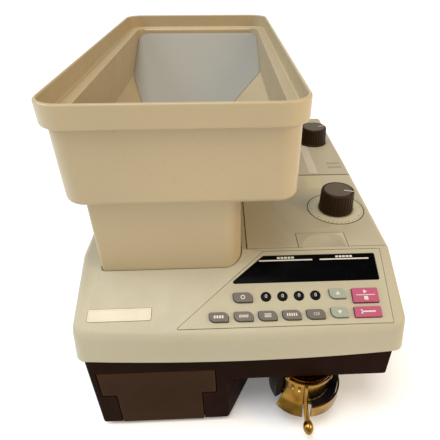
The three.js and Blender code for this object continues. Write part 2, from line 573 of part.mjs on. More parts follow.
// Black collar: a ring behind the tube, a skirt that reaches further down on the left and a
// low rim inside the hoop on the right.
const collarPlan = (outerR, from) => sectorRound(COLLAR.innerR, outerR, from, COLLAR_ENDS.to);
place("outlet_collar", joined([
  prismZ(collarPlan(COLLAR.ringR, COLLAR_ENDS.ringFrom), COLLAR.ringZ, SPOUT.topZ, 12),
  prismZ(collarPlan(COLLAR.skirtR, COLLAR_ENDS.skirtFrom), COLLAR.skirtZ, SPOUT.topZ, 7),
  prismZ(sectorRound(COLLAR.innerR, COLLAR.ringR, COLLAR_ENDS.ringFrom, COLLAR_ENDS.skirtFrom + 2),
    COLLAR.skirtZ, COLLAR.ringZ + 1, 7),
  prismZ(sectorRound(COLLAR.innerR, COLLAR.ringR, COLLAR_ENDS.rimFrom, 0), COLLAR.skirtZ, COLLAR.skirtZ + 5, 7),
]).subtract(post(SPOUT.x, SPOUT.y, COLLAR.beadR, COLLAR.beadR, 20, COLLAR.skirtZ + 3)), BLACK);

place("bag_clamp_hoop",
  prismZ(sectorRound(HOOP.innerR, HOOP.outerR, HOOP.from, HOOP.to), HOOP.z0, HOOP.z1, 10), BRASS);

// Lever: a bail round the front of the tube on two studs, a rod down from it and a grip.
const bail = prismZ(sectorRound(BAIL.innerR, BAIL.outerR, BAIL.from, BAIL.to), BAIL.z0, BAIL.z1, 7);
const studs = [BAIL.from + 1, BAIL.to - 1].map((angle) => {
  const out = [Math.cos(angle * DEG), Math.sin(angle * DEG)];
  const at = (r) => [SPOUT.x + r * out[0], SPOUT.y + r * out[1], STUD.z];
  return bar(at(STUD.innerR), at(STUD.outerR), STUD.radius, 3);
});
const rodPath = [
  [189, -6.2, 57.6], [189.6, -6.4, 40], [190, -8.6, 31.5], [190.5, -12, 26], [191.2, -15.8, 20.8],
];
const rodRadius = 2.1;
const rod = rodPath.slice(1).map((end, i) => {
  const start = rodPath[i];
  const overlap = i === 0 ? 0 : 0.12;
  return bar(start.map((value, axis) => value - overlap * (end[axis] - value)), end, rodRadius);
});
const gripFront = [GRIP.x, GRIP.frontY + 2.4, GRIP.z];
const gripEnd = solidOf(new THREE.SphereGeometry(GRIP.radius, 14, 8)
  .translate(GRIP.x, GRIP.frontY + GRIP.radius, GRIP.z + 0.9));
place("clamp_lever", joined([
  bail, ...studs, ...rod, bar(rodPath.at(-1), gripFront, GRIP.radius - 0.3, 7), gripEnd,
]), BRASS);

// ---------------------------------------------------------------- drive and coin path

place("feed_disc", joined([
  post(DISC.x, DISC.y, DISC.radius, DISC.radius, DISC.topZ - DISC.thick, DISC.topZ, 48),
  post(DISC.x, DISC.y, 14, 14, DISC.topZ - 8, DISC.topZ - 1),
]).subtract(post(DISC.x, DISC.y, 5.4, 5.4, 80, DISC.topZ - 1.5, 20)), STEEL);
place("disc_shaft", post(DISC.x, DISC.y, 5, 5, 58, DISC.topZ - 1.9, 20), STEEL);
place("disc_bearing", post(DISC.x, DISC.y, 9, 9, 82, 89)
  .subtract(post(DISC.x, DISC.y, 5.4, 5.4, 80, 90, 20)), BRASS);
place("disc_pulley", post(DISC.x, DISC.y, PULLEY.discR, PULLEY.discR, PULLEY.z0, PULLEY.z1, 36)
  .subtract(post(DISC.x, DISC.y, 5.4, 5.4, 60, 80, 20)), STEEL);
place("motor_pulley", joined([
  post(MOTOR.x, MOTOR.y, PULLEY.motorR, PULLEY.motorR, PULLEY.z0, PULLEY.z1),
  post(MOTOR.x, MOTOR.y, 3, 3, MOTOR.z1 + GAP, PULLEY.z0 + 1, 12),
]), STEEL);
place("drive_motor", joined([
  post(MOTOR.x, MOTOR.y, MOTOR.radius, MOTOR.radius, MOTOR.z0 - 1, MOTOR.z1, 30),
  box(MOTOR.x - 34, MOTOR.x + 34, MOTOR.y - 34, MOTOR.y + 34, baseFloor + GAP, MOTOR.z0),
]), STEEL);

// Outline of a belt's outer or inner face, round two wheels a distance apart.
function loopOutline(distance, r1, r2) {
  const lead = Math.acos((r1 - r2) / distance);
  const shape = new THREE.Shape();
  shape.absarc(0, 0, r1, lead, 2 * Math.PI - lead, false);
  shape.absarc(distance, 0, r2, -lead, lead, false);
  return shape;
}
function loop(prism, distance, r1, r2, thick, low, high) {
  const outside = prism(loopOutline(distance, r1 + GAP + thick, r2 + GAP + thick), low, high, 8);
  return outside.subtract(prism(loopOutline(distance, r1 + GAP, r2 + GAP), low - 1, high + 1, 8));
}
const wheelbase = Math.hypot(MOTOR.x - DISC.x, MOTOR.y - DISC.y);
const driveBelt = place("drive_belt",
  loop(prismZ, wheelbase, PULLEY.discR, PULLEY.motorR, PULLEY.beltThick, PULLEY.z0 + 1, PULLEY.z1 - 1),
  RUBBER);
driveBelt.position.set(DISC.x, DISC.y, 0);
driveBelt.rotation.z = Math.atan2(MOTOR.y - DISC.y, MOTOR.x - DISC.x);

const ROLLERS = { transport_roller_front: ROLLER.frontY, transport_roller_rear: ROLLER.rearY };
for (const [name, y] of Object.entries(ROLLERS)) {
  place(name, joined([
    barX(ROLLER.x0, ROLLER.x1, y, ROLLER.z, ROLLER.radius, 20),
    barX(185.2, ROLLER.x1 + 1, y, ROLLER.z, 2, 12),
  ]), STEEL);
}
const transportBelt = place("transport_belt",
  loop(prismX, ROLLER.rearY - ROLLER.frontY, ROLLER.radius, ROLLER.radius, ROLLER.beltThick,
    ROLLER.x0 + 1, ROLLER.x1 - 1), RUBBER);
transportBelt.position.set(0, ROLLER.frontY, ROLLER.z);

// Hanger plate under the lid that carries the two rollers.
const hangerTop = deckHeight(ROLLER.frontY) - COVER.wall - 0.6;
place("transport_frame", without(joined([
  box(186, 189, ROLLER.frontY - 4, ROLLER.rearY + 8, ROLLER.z - 4, hangerTop),
  box(186, 202, ROLLER.frontY + 4, ROLLER.rearY + 8, hangerTop - 2.5, hangerTop),
]), [ROLLER.frontY, ROLLER.rearY].map((y) => barX(180, 192, y, ROLLER.z, 2.35, 12))), STEEL);

place("coin_rail", joined([
  box(RAIL.x0, RAIL.x1, RAIL.y0, RAIL.y1, RAIL.topZ - 3, RAIL.topZ),
  box(RAIL.x0, RAIL.x0 + 2, RAIL.y0, 150, RAIL.topZ - 1, RAIL.topZ + 3.6),
  box(RAIL.x0 + 4, RAIL.x0 + 12, 70, 140, PLATE.z1 + GAP, RAIL.topZ - 2),
]), STEEL);
place("coin_sensor", box(177, 224, 46, 60, 90, 112)
  .subtract(box(RAIL.x0 - GAP, RAIL.x1 + GAP, 40, 70, RAIL.topZ - 3 - GAP, 106)), BLACK);
place("width_guide", joined([
  box(210, 213.5, 84, 158, RAIL.topZ + 0.6, 109),
  box(210, 240, 128, 143, 107, 110.5),
]), STEEL);
place("thickness_gate", joined([
  box(236, 246, 182, 306, GATE.bottomZ, GATE.topZ),
  box(186, 246, 182, 190, GATE.bottomZ, GATE.topZ),
  box(186, 209, 182, 185, DISC.topZ + 1.6, GATE.bottomZ + 1),
]), STEEL);

// ---------------------------------------------------------------- electrics

place("control_board", joined([
  box(150, 245, 305, 382, PLATE.z1 + 4, PLATE.z1 + 5.6),
  box(160, 190, 320, 350, PLATE.z1 + 5, PLATE.z1 + 9),
  box(205, 235, 340, 372, PLATE.z1 + 5, PLATE.z1 + 20),
  box(155, 180, 364, 378, PLATE.z1 + 5, PLATE.z1 + 14),
]), BOARD);
place("power_supply", joined([
  box(30, 120, 300, 372, baseFloor + GAP, baseFloor + 3),
  box(42, 104, 312, 362, baseFloor + 2, 62),
]), STEEL);
place("power_inlet", joined([
  box(INLET.x0, INLET.x1, 378, 397, INLET.z0, INLET.z1),
  box(INLET.x0 - 4, INLET.x1 + 4, 395.4, 398, INLET.z0 - 3, INLET.z1 + 3),
]).subtract(box(INLET.x0 + 3, INLET.x1 - 3, 384, 400, INLET.z0 + 4, INLET.z1 - 4)), BLACK);

// Rocker with a shallow V face that stands out of the rear wall.
const rockerZ = (SWITCH.z0 + SWITCH.z1) / 2;
place("power_switch", prismX(polygon([
  [386, SWITCH.z0 + 3.5], [396.2, SWITCH.z0 + 1], [398.4, SWITCH.z0 + 1.2], [396.8, rockerZ],
  [398.4, SWITCH.z1 - 1.2], [396.2, SWITCH.z1 - 1], [386, SWITCH.z1 - 3.5],
]), SWITCH.x0, SWITCH.x1), BLACK);

export default machine;
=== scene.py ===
"""Looks of the desktop coin sorting machine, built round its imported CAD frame.

Shapes are laid out in millimetres in the machine frame of the CAD part: X runs to the
right from close to the cover's left side, Y to the rear from its front edge and Z up
from the table. A finished piece is turned into metres in the row frame.
"""

from math import atan2, cos, degrees, pi, radians, sin, tan
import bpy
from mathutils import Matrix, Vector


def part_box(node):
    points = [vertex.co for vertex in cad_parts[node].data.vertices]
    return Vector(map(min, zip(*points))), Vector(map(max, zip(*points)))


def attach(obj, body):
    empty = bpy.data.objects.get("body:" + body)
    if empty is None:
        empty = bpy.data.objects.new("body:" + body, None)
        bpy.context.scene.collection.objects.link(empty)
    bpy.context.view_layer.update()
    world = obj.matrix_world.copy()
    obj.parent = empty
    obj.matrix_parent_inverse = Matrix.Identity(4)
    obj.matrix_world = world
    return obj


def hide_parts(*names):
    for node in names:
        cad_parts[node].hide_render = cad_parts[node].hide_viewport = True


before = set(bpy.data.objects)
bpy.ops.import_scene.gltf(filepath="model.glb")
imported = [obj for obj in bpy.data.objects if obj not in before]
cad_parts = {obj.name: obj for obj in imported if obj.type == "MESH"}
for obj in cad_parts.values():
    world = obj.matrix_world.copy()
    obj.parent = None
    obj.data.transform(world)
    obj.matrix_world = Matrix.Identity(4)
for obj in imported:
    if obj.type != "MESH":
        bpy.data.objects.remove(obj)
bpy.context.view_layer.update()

from types import SimpleNamespace as Sizes

import bmesh
import bpy
from mathutils import Matrix, Vector

# ---------- frames and dimensions

MM = 0.001
BASE_SETBACK = 1  # the base's front stands this far behind the cover's front edge
COVER = Sizes(x0=-1.5, x1=269, rear=400, bottom=93, wall=3, bow=4.4, corner=10, edge=5)
MACHINE = Matrix.Translation((
    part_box("upper_cover")[0].x - COVER.x0 * MM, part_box("base_housing")[0].y - BASE_SETBACK * MM, 0,
)) @ Matrix.Scale(MM, 4)

FRONT = Sizes(top_y=6.6, top_z=116.9)
CONSOLE_SLOPE = radians(24.8)
CONSOLE = (
    MACHINE
    @ Matrix.Translation((0, FRONT.top_y, FRONT.top_z))
    @ Matrix.Rotation(CONSOLE_SLOPE, 4, "X")
)


def node_points(node, space):
    """Vertices of a CAD node, in millimetres in a frame."""
    to_space = space.inverted()
    return [to_space @ vertex.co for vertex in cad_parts[node].data.vertices]


def extent(node, space=MACHINE):
    """Lowest and highest corner of a CAD node."""
    points = node_points(node, space)
    low = Vector([min(p[axis] for p in points) for axis in range(3)])
    high = Vector([max(p[axis] for p in points) for axis in range(3)])
    return low, high


def centre_of(node, space=MACHINE):
    """Middle of a CAD node's plan, and half its width."""
    low, high = extent(node, space)
    return (low.x + high.x) / 2, (low.y + high.y) / 2, (high.x - low.x) / 2


GAP = 0.4  # clearance between pieces that touch on the real object
INK = 0.12  # height of a raised sign
DECK = Sizes(front_y=72.9, knee_y=235, knee_z=150.5, rear_y=392, rear_drop=7)
DECK.front_z = FRONT.top_z + (DECK.front_y - FRONT.top_y) * tan(CONSOLE_SLOPE)
DECK_TILT = atan2(DECK.knee_z - DECK.front_z, DECK.knee_y - DECK.front_y)

NECK_LOW, NECK_HIGH = Vector((16.6, 57.6, 134)), Vector((135.9, 335, 209))
NECK_WALL = 3
FUNNEL = Sizes(half_x=55.4, half_y=134.5, throat=0.45, top=151, wall=2.5)
KNOB = Sizes(height=21, flutes=30, flute=0.55, cap=13.3, shaft=3)
DIAL = Sizes(inner=18, rim=0.8, thick=0.6)
LID = Sizes(x0=141.5, y0=73.8, y1=205.8, skirt_z=138.5)
HINGE = Sizes(y=209, z=143.3, pin=1.5)
LATCH = Sizes(x0=187.5, x1=232, y1=94.3)
SCOOP = Sizes(x=210.5, y=71.8, radius=19.4, depth=5)
SPOUT_AXIS = (192.5, 20)
SPOUT = Sizes(end=30, radius=23.5, wall=1.6, bore=17)


def deck_height(y):
    share = (y - DECK.front_y) / (DECK.knee_y - DECK.front_y)
    return DECK.front_z + (DECK.knee_z - DECK.front_z) * min(1, share)


def on_deck(x, y):
    """Lays a piece made at the origin on the sloping deck."""
    return Matrix.Translation((x, y, deck_height(y))) @ Matrix.Rotation(DECK_TILT, 4, "X")


# ---------- outlines


def arc(cx, cy, radius, start, end, steps):
    """Points along a circle from one angle to another, in degrees."""
    angles = [radians(start + (end - start) * i / steps) for i in range(steps + 1)]
    return [(cx + radius * cos(a), cy + radius * sin(a)) for a in angles]


def rounded(corners, radii, steps):
    """A polygon whose corners are replaced by arcs, each with its own radius."""
    points = []
    for i, corner in enumerate(corners):
        here = Vector(corner)
        back = (Vector(corners[i - 1]) - here).normalized()
        ahead = (Vector(corners[(i + 1) % len(corners)]) - here).normalized()
        radius = radii[i] if isinstance(radii, (list, tuple)) else radii
        if radius <= 0:
            points.append(corner)
            continue
        half = back.angle(ahead) / 2
        centre = here + (back + ahead).normalized() * radius / sin(half)
        start = here + back * radius / tan(half) - centre
        end = here + ahead * radius / tan(half) - centre
        first = degrees(atan2(start.y, start.x))
        turn = degrees(atan2(end.y, end.x)) - first
        turn = (turn + 180) % 360 - 180
        points += arc(centre.x, centre.y, radius, first, first + turn, steps)
    return points


def rect(x0, x1, y0, y1, radii, steps):
    """Rectangle with corner radii in the order front left, front right, back right, back left."""
    return rounded([(x0, y0), (x1, y0), (x1, y1), (x0, y1)], radii, steps)


def circle(x, y, radius, steps=32):
    return arc(x, y, radius, 0, 360, steps)[:-1]


# ---------- solids


def linked(name, data):
    """New object in the scene."""
    thing = bpy.data.objects.new(name, data)
    bpy.context.scene.collection.objects.link(thing)
    return thing


def finished_mesh(thing):
    """Mesh of an object with its modifiers applied."""
    graph = bpy.context.evaluated_depsgraph_get()
    return bpy.data.meshes.new_from_object(thing.evaluated_get(graph))


def solid_from(bm):
    bmesh.ops.remove_doubles(bm, verts=bm.verts, dist=1e-4)
    bmesh.ops.recalc_face_normals(bm, faces=bm.faces)
    mesh = bpy.data.meshes.new("solid")
    bm.to_mesh(mesh)
    bm.free()
    return linked("solid", mesh)


def loft(rings, closed=False):
    """Skin through rings of points. It is capped at both ends unless it closes on itself."""
    bm = bmesh.new()
    loops = [[bm.verts.new(point) for point in ring] for ring in rings]
    following = loops[1:] + loops[:1] if closed else loops[1:]
    for here, there in zip(loops, following):
        for i in range(len(here)):
            j = (i + 1) % len(here)
            bm.faces.new((here[i], here[j], there[j], there[i]))
    if not closed:
        bm.faces.new(loops[0])
        bm.faces.new(loops[-1])
    return solid_from(bm)


def prism(outline, low, high, axis="Z"):
    """Prism of an outline. Its plane is XY, YZ or XZ for the axes Z, X and Y."""
    place = {
        "Z": lambda u, v, w: (u, v, w),
        "X": lambda u, v, w: (w, u, v),
        "Y": lambda u, v, w: (u, w, v),
    }[axis]
    return loft([[place(u, v, w) for u, v in outline] for w in (low, high)])


def block(x0, x1, y0, y1, z0, z1):
    return prism([(x0, y0), (x1, y0), (x1, y1), (x0, y1)], z0, z1)


def lathe(profile, x, y, steps=64):
    """Solid of revolution round an upright axis, from a closed profile of radius and height."""
    rings = []
    for i in range(steps):
        a = 2 * pi * i / steps
        rings.append([(x + r * cos(a), y + r * sin(a), z) for r, z in profile])
    return loft(rings, closed=True)


def tube(path, radii, steps):
    """Round bar along a path, with a radius at each of its points."""
    points = [Vector(p) for p in path]
    rings = []
    for i, point in enumerate(points):
        ahead = points[min(i + 1, len(points) - 1)] - points[max(i - 1, 0)]
        side = ahead.cross((0, 1, 0) if abs(ahead.normalized().y) < 0.9 else (1, 0, 0)).normalized()
        up = side.cross(ahead).normalized()
        turn = [2 * pi * k / steps for k in range(steps)]
        rings.append([point + (side * cos(a) + up * sin(a)) * radii[i] for a in turn])
    return loft(rings)


def moved(solid, matrix):
    solid.data.transform(matrix)
    return solid


def settled(solid):
    """Replaces a solid's mesh by what its modifiers make of it."""
    old = solid.data
    solid.data = finished_mesh(solid)
    solid.modifiers.clear()
    bpy.data.meshes.remove(old)
    return solid


def copy_of(solid):
    return linked("solid", solid.data.copy())


def gathered(solids):
    """One object that holds several solids which don't touch."""
    bm = bmesh.new()
    for solid in solids:
        bm.from_mesh(solid.data)
        discard(solid)
    return solid_from(bm)


def discard(solid):
    mesh = solid.data
    bpy.data.objects.remove(solid)
    bpy.data.meshes.remove(mesh)


def combined(solid, operation, others):
    for other in others:
        modifier = solid.modifiers.new("combine", "BOOLEAN")
        modifier.operation = operation
        modifier.object = other
        modifier.solver = "EXACT"
        settled(solid)
        discard(other)
    return solid


def cut(solid, *others):
    return combined(solid, "DIFFERENCE", others)


def kept(solid, *others):
    return combined(solid, "INTERSECT", others)


def joined(solid, *others):
    return combined(solid, "UNION", others)


def eased(solid, width, segments, angle):
    """Rounds every edge that turns by more than an angle in degrees."""
    modifier = solid.modifiers.new("round", "BEVEL")
    modifier.width = width
    modifier.segments = segments
    modifier.limit_method = "ANGLE"
    modifier.angle_limit = radians(angle)
    modifier.use_clamp_overlap = False
    return settled(solid)


def faceted(solid):
    """Splits large faces into triangles, so that a face with holes stays whole when it is rounded."""
    split = solid.modifiers.new("split", "TRIANGULATE")
    split.min_vertices = 5
    return settled(solid)


def digits(text, size):
    """Flat numerals in the XY plane, centred on the origin."""
    curve = bpy.data.curves.new("digits", "FONT")
    curve.body = text
    curve.size = size
    curve.align_x = "CENTER"
    curve.align_y = "CENTER"
    curve.extrude = INK / 2
    curve.resolution_u = 3
    holder = linked("digits", curve)
    mesh = finished_mesh(holder)
    bpy.data.objects.remove(holder)
    bpy.data.curves.remove(curve)
    return moved(linked("solid", mesh), Matrix.Translation((0, 0, INK / 2)))


# ---------- materials


def linear(red, green, blue):
    """A colour in 0 to 255 screen values as the linear colour that a shader takes."""
    def channel(value):
        value /= 255
        return value / 12.92 if value <= 0.04045 else ((value + 0.055) / 1.055) ** 2.4
    return (channel(red), channel(green), channel(blue), 1)


def grey(level):
    return (level, level, level, 1)


def shade(colour, factor):
    return tuple(min(1, c * factor) for c in colour[:3]) + (1,)


class Finish:
    """A procedural material: one shader and the few nodes that feed it."""

    def __init__(self, name, roughness, metallic=0.0):
        self.material = bpy.data.materials.new(name)
        self.material.use_nodes = True
        self.tree = self.material.node_tree
        self.shader = self.tree.nodes["Principled BSDF"]
        self.put("Roughness", roughness)
        self.put("Metallic", metallic)
        self.place = self.tree.nodes.new("ShaderNodeTexCoord").outputs["Object"]

    def link(self, source, target):
        self.tree.links.new(source, target)

    def noise(self, scale, detail, stretch=(1, 1, 1)):
        """Noise with a given number of cells per metre, stretched along the axes."""
        mapping = self.tree.nodes.new("ShaderNodeMapping")
        mapping.inputs["Scale"].default_value = stretch
        self.link(self.place, mapping.inputs["Vector"])
        node = self.tree.nodes.new("ShaderNodeTexNoise")
        node.inputs["Scale"].default_value = scale
        node.inputs["Detail"].default_value = detail
        self.link(mapping.outputs[0], node.inputs["Vector"])
        return node.outputs["Fac"]

    def ramp(self, source, stops):
        """Colours or greys by position along a source value."""
        node = self.tree.nodes.new("ShaderNodeValToRGB")
        band = node.color_ramp
        while len(band.elements) < len(stops):
            band.elements.new(0.5)
        for element, (position, colour) in zip(band.elements, stops):
            element.position = position
            element.color = colour
        self.link(source, node.inputs["Fac"])
        return node.outputs["Color"]

    def mix(self, factor, first, second):
        node = self.tree.nodes.new("ShaderNodeMix")
        node.data_type = "RGBA"
        for socket, value in (("Factor", factor), ("A", first), ("B", second)):
            self.feed(value, node.inputs[socket])
        return node.outputs["Result"]

    def feed(self, value, socket):
        if isinstance(value, bpy.types.NodeSocket):
            self.link(value, socket)
        else:
            socket.default_value = value

    def span(self, source, low, high):
        """A value from 0.3 to 0.7, where noise mostly lies, spread over a new range."""
        node = self.tree.nodes.new("ShaderNodeMapRange")
        for socket, value in (("From Min", 0.3), ("From Max", 0.7), ("To Min", low), ("To Max", high)):
            node.inputs[socket].default_value = value
        self.link(source, node.inputs["Value"])
        return node.outputs["Result"]

    def put(self, socket, value):
        """Sets one of the shader's inputs, or links it."""
        self.feed(value, self.shader.inputs[socket])

    def colour(self, value):
        self.put("Base Color", value)

    def roughness(self, value):
        self.put("Roughness", value)

    def relief(self, height, depth, strength):
        """Bump from a height, stacked on whatever bump is there already."""
        node = self.tree.nodes.new("ShaderNodeBump")
        node.inputs["Strength"].default_value = strength
        node.inputs["Distance"].default_value = depth
        self.link(height, node.inputs["Height"])
        socket = self.shader.inputs["Normal"]
        if socket.is_linked:
            self.link(socket.links[0].from_socket, node.inputs["Normal"])
        self.link(node.outputs["Normal"], socket)

    def edges(self, low, high):
        """How far a place is on a convex edge, from 0 to 1."""
        node = self.tree.nodes.new("ShaderNodeNewGeometry")
        return self.ramp(node.outputs["Pointiness"], [(low, grey(0)), (high, grey(1))])


def plastic(name, colour, roughness, grain=2600, depth=0.00003, wear=1.25, gloss=0.4):
    """Moulded plastic: fine spark-eroded grain, slight yellowing in patches, rubbed edges."""
    finish = Finish(name, roughness)
    finish.put("Specular IOR Level", gloss)
    patches = finish.noise(9, 4)
    specks = finish.noise(420, 2)
    body = finish.ramp(patches, [
        (0.3, shade(colour, 0.95)), (0.5, colour), (0.7, shade(colour, 1.05)),
    ])
    speckled = finish.mix(
        finish.ramp(specks, [(0.62, grey(0)), (0.75, grey(0.35))]), body, shade(colour, 0.82))
    finish.colour(finish.mix(finish.edges(0.53, 0.6), speckled, shade(colour, wear)))
    finish.roughness(finish.span(finish.noise(70, 4), roughness - 0.06, roughness + 0.07))
    finish.relief(finish.noise(grain, 2), depth, 0.5)
    finish.relief(finish.noise(28, 1), 0.0004, 0.12)
    return finish.material


def print_ink(name, colour):
    """Screen-printed ink with slightly uneven cover."""
    finish = Finish(name, 0.5)
    finish.colour(finish.ramp(finish.noise(900, 3), [(0.35, shade(colour, 0.88)), (0.6, colour)]))
    finish.relief(finish.noise(1500, 2), 0.00002, 0.4)
    return finish.material


def glossy_window(name):
    """Black smoked window with faint dust and wiping marks."""
    finish = Finish(name, 0.12)
    finish.put("Specular IOR Level", 0.03)
    dust = finish.noise(160, 6)
    wipes = finish.noise(30, 4, (0.4, 3, 1))
    finish.colour(finish.mix(
        finish.ramp(dust, [(0.55, grey(0)), (0.8, grey(0.5))]), linear(3, 3, 4), linear(16, 15, 14)))
    finish.roughness(finish.span(wipes, 0.1, 0.26))
    finish.relief(finish.noise(12, 1), 0.0003, 0.1)
    return finish.material


def plated(name, colour, tint, roughness, streak=(1, 1, 0.08)):
    """Plated metal: tint in soft patches, fine polishing lines and small pits."""
    finish = Finish(name, roughness, 1.0)
    finish.colour(finish.ramp(finish.noise(55, 4), [(0.35, tint), (0.62, colour)]))
    lines = finish.noise(1400, 2, streak)
    finish.roughness(finish.span(lines, roughness * 0.6, roughness * 1.5))
    finish.relief(lines, 0.00001, 0.25)
    finish.relief(finish.noise(40, 2), 0.0006, 0.12)
    return finish.material


def rubber(name, colour):
    finish = Finish(name, 0.85)
    finish.colour(finish.ramp(finish.noise(60, 5), [(0.35, colour), (0.7, shade(colour, 1.9))]))
    finish.relief(finish.noise(1800, 3), 0.00008, 0.6)
    return finish.material


def circuit(name):
    """Green solder resist over copper tracks."""
    finish = Finish(name, 0.35)
    cells = finish.tree.nodes.new("ShaderNodeTexVoronoi")
    cells.distance = "MANHATTAN"
    cells.inputs["Scale"].default_value = 260
    finish.link(finish.place, cells.inputs["Vector"])
    tracks = finish.ramp(cells.outputs["Distance"], [(0.25, grey(0)), (0.3, grey(1))])
    finish.colour(finish.mix(tracks, linear(46, 118, 66), linear(20, 74, 42)))
    finish.relief(tracks, 0.00004, 0.6)
    finish.roughness(finish.span(finish.noise(200, 2), 0.28, 0.45))
    return finish.material


BEIGE = plastic("moulded_beige", linear(167, 159, 135), 0.42)
HOPPER_BEIGE = plastic("hopper_beige", linear(176, 159, 125), 0.36, depth=0.00002)
PANEL_BEIGE = plastic("panel_film", linear(164, 157, 132), 0.5, grain=3600, depth=0.00002)
RAMP_GREY = plastic("ramp_grey", linear(138, 136, 127), 0.5, grain=2000)
COARSE = {"grain": 1500, "depth": 0.00007}
BROWN = plastic("moulded_brown", linear(29, 13, 5), 0.55, wear=1.7, gloss=0.02, **COARSE)
DRAWER_BROWN = plastic("drawer_brown", linear(50, 33, 18), 0.55, wear=1.6, gloss=0.03, **COARSE)
KNOB_BROWN = plastic("knob_brown", linear(42, 26, 8), 0.4, grain=2400, wear=1.8, gloss=0.12)
KNOB_CAP = plastic("knob_cap", linear(86, 77, 66), 0.38, grain=2400, gloss=0.15)
BLACK = plastic("moulded_black", linear(9, 8, 10), 0.35, grain=2200, wear=1.8, gloss=0.08)
KEY_GREY = plastic("key_grey", linear(96, 89, 80), 0.42, grain=3000, gloss=0.25)
KEY_GREEN = plastic("key_green", linear(140, 146, 128), 0.42, grain=3000, gloss=0.3)
KEY_ROSE = plastic("key_rose", linear(164, 76, 104), 0.4, grain=3000, gloss=0.25)
PALE_INK = print_ink("pale_ink", linear(205, 199, 188))
DARK_INK = print_ink("dark_ink", linear(66, 60, 34))
FAINT_INK = print_ink("faint_ink", linear(138, 128, 104))
SMOOTH = {"grain": 3000, "depth": 0.00001}
LABEL = plastic("label_plastic", linear(196, 187, 163), 0.35, **SMOOTH)
FAINT_LABEL = plastic("faint_label", linear(160, 154, 124), 0.45, **SMOOTH)
LILAC_LABEL = plastic("lilac_label", linear(168, 160, 146), 0.45, **SMOOTH)
WINDOW = glossy_window("smoked_window")
BRASS = plated("polished_brass", linear(156, 120, 52), linear(112, 76, 24), 0.2)
STEEL = plated("plated_steel", linear(196, 196, 194), linear(170, 170, 172), 0.3, (1, 0.08, 1))
RUBBER = rubber("foot_rubber", linear(28, 27, 27))
BELT = rubber("belt_rubber", linear(34, 32, 31))
BOARD = circuit("circuit_board")

# ---------- finished pieces

SHARP_ANGLE = radians(28)


def piece(solid, name, body, materials, slot, node=None, space=MACHINE):
    """Turns a solid into a named piece that rides on a body and may stand for a CAD node."""
    mesh = solid.data
    mesh.transform(space)
    for material in materials if isinstance(materials, list) else [materials]:
        mesh.materials.append(material)
    solid.name = name
    mesh.name = name
    mesh.shade_smooth()
    mesh.set_sharp_from_angle(angle=SHARP_ANGLE)
    weighted = solid.modifiers.new("weighted", "WEIGHTED_NORMAL")
    weighted.keep_sharp = True
    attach(solid, body)
    if node:
        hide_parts(node)


def with_marks(cap, marks):
    """Joins marks to a cap as its second material, and returns the cap."""
    bm = bmesh.new()
    bm.from_mesh(cap.data)
    for mark in marks:
        first = len(bm.faces)
        bm.from_mesh(mark.data)
        bm.faces.ensure_lookup_table()
        for face in bm.faces[first:]:
            face.material_index = 1
        discard(mark)
    bm.to_mesh(cap.data)
    bm.free()
    return cap


# ---------- upper cover, lid and latch


def cover_plan(inset):
    """Plan of the cover at its bottom edge: a front that bows out between round corners."""
    left, right = COVER.x0 + inset, COVER.x1 - inset
    middle = (COVER.x0 + COVER.x1) / 2
    reach = COVER.x1 - middle - COVER.corner
    radius = COVER.corner - inset
    bowed = []
    for i in range(13):
        x = -reach + 2 * reach * i / 12
        bowed.append((middle + x, inset - COVER.bow * (1 - (x / reach) ** 2)))
    back = COVER.rear + 40
    return (
        [(left, back)]
        + arc(left + radius, inset + radius, radius, 180, 262, 7)
        + bowed
        + arc(right - radius, inset + radius, radius, 278, 360, 7)
        + [(right, back)]
    )


def cover_form(inset, edge):
    """The cover's whole form, inset from its outer skin, with rounded edges."""
    lean = FRONT.top_y / (FRONT.top_z - COVER.bottom)
    floor, top = COVER.bottom - 14, 175
    rings = []
    for z in (floor, top):
        rings.append([(x, y + lean * (z - COVER.bottom), z) for x, y in cover_plan(inset)])
    drop = inset / cos(CONSOLE_SLOPE)
    reach = -14
    slope = tan(CONSOLE_SLOPE)
    rear, flat = COVER.rear - inset, DECK.knee_z - inset
    side = [
        (reach, floor + 1), (rear, floor + 1), (rear, flat - DECK.rear_drop),
        (DECK.rear_y - inset, flat), (DECK.knee_y, flat),
        (DECK.front_y, DECK.front_z - drop),
        (reach, FRONT.top_z - (FRONT.top_y - reach) * slope - drop),
    ]
    form = kept(loft(rings), prism(side, -5, COVER.x1 + 5, "X"))
    return eased(form, edge, 5, 36)


def cover_shell():
    shell = cut(cover_form(0, COVER.edge), cover_form(COVER.wall, COVER.edge - COVER.wall))
    return kept(shell, block(-5, COVER.x1 + 5, -20, 410, COVER.bottom, 200))


def slanted_outline(node, grow, radius):
    """Outline of the panel or the display: a four-sided figure with a slanting left end."""
    points = node_points(node, CONSOLE)
    low_s = min(p.y for p in points)
    high_s = max(p.y for p in points)
    front = [p.x for p in points if p.y < low_s + 0.1]
    back = [p.x for p in points if p.y > high_s - 0.1]
    corners = [
        (min(front) - 1.8 * grow, low_s - grow), (max(front) + grow, low_s - grow),
        (max(back) + grow, high_s + grow), (min(back) - 0.6 * grow, high_s + grow),
    ]
    return rounded(corners, radius, 4)


KEY_SKIRT = 1.2  # the hidden flange stands this far out all round a key
KEY_NAMES = [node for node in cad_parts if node.startswith("key_")]
ARROW_KEYS = ("key_up", "key_down")
ROSE_KEYS = ("key_start_stop", "key_clear")
BUTTON_NAMES = [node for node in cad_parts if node.startswith("digit_button_")]


def key_outline(node, grow=0.0):
    low, high = extent(node, CONSOLE)
    out = grow - KEY_SKIRT
    small, big = 0.9 + grow, 4.6 + grow
    radii = (small,) * 4 if node in ROSE_KEYS else (big, small, big, small)
    return rect(low.x - out, high.x + out, low.y - out, high.y + out, radii, 5)


def button_outline(node, grow):
    x, y, flange = centre_of(node, CONSOLE)
    return circle(x, y, flange - KEY_SKIRT + grow, 28)


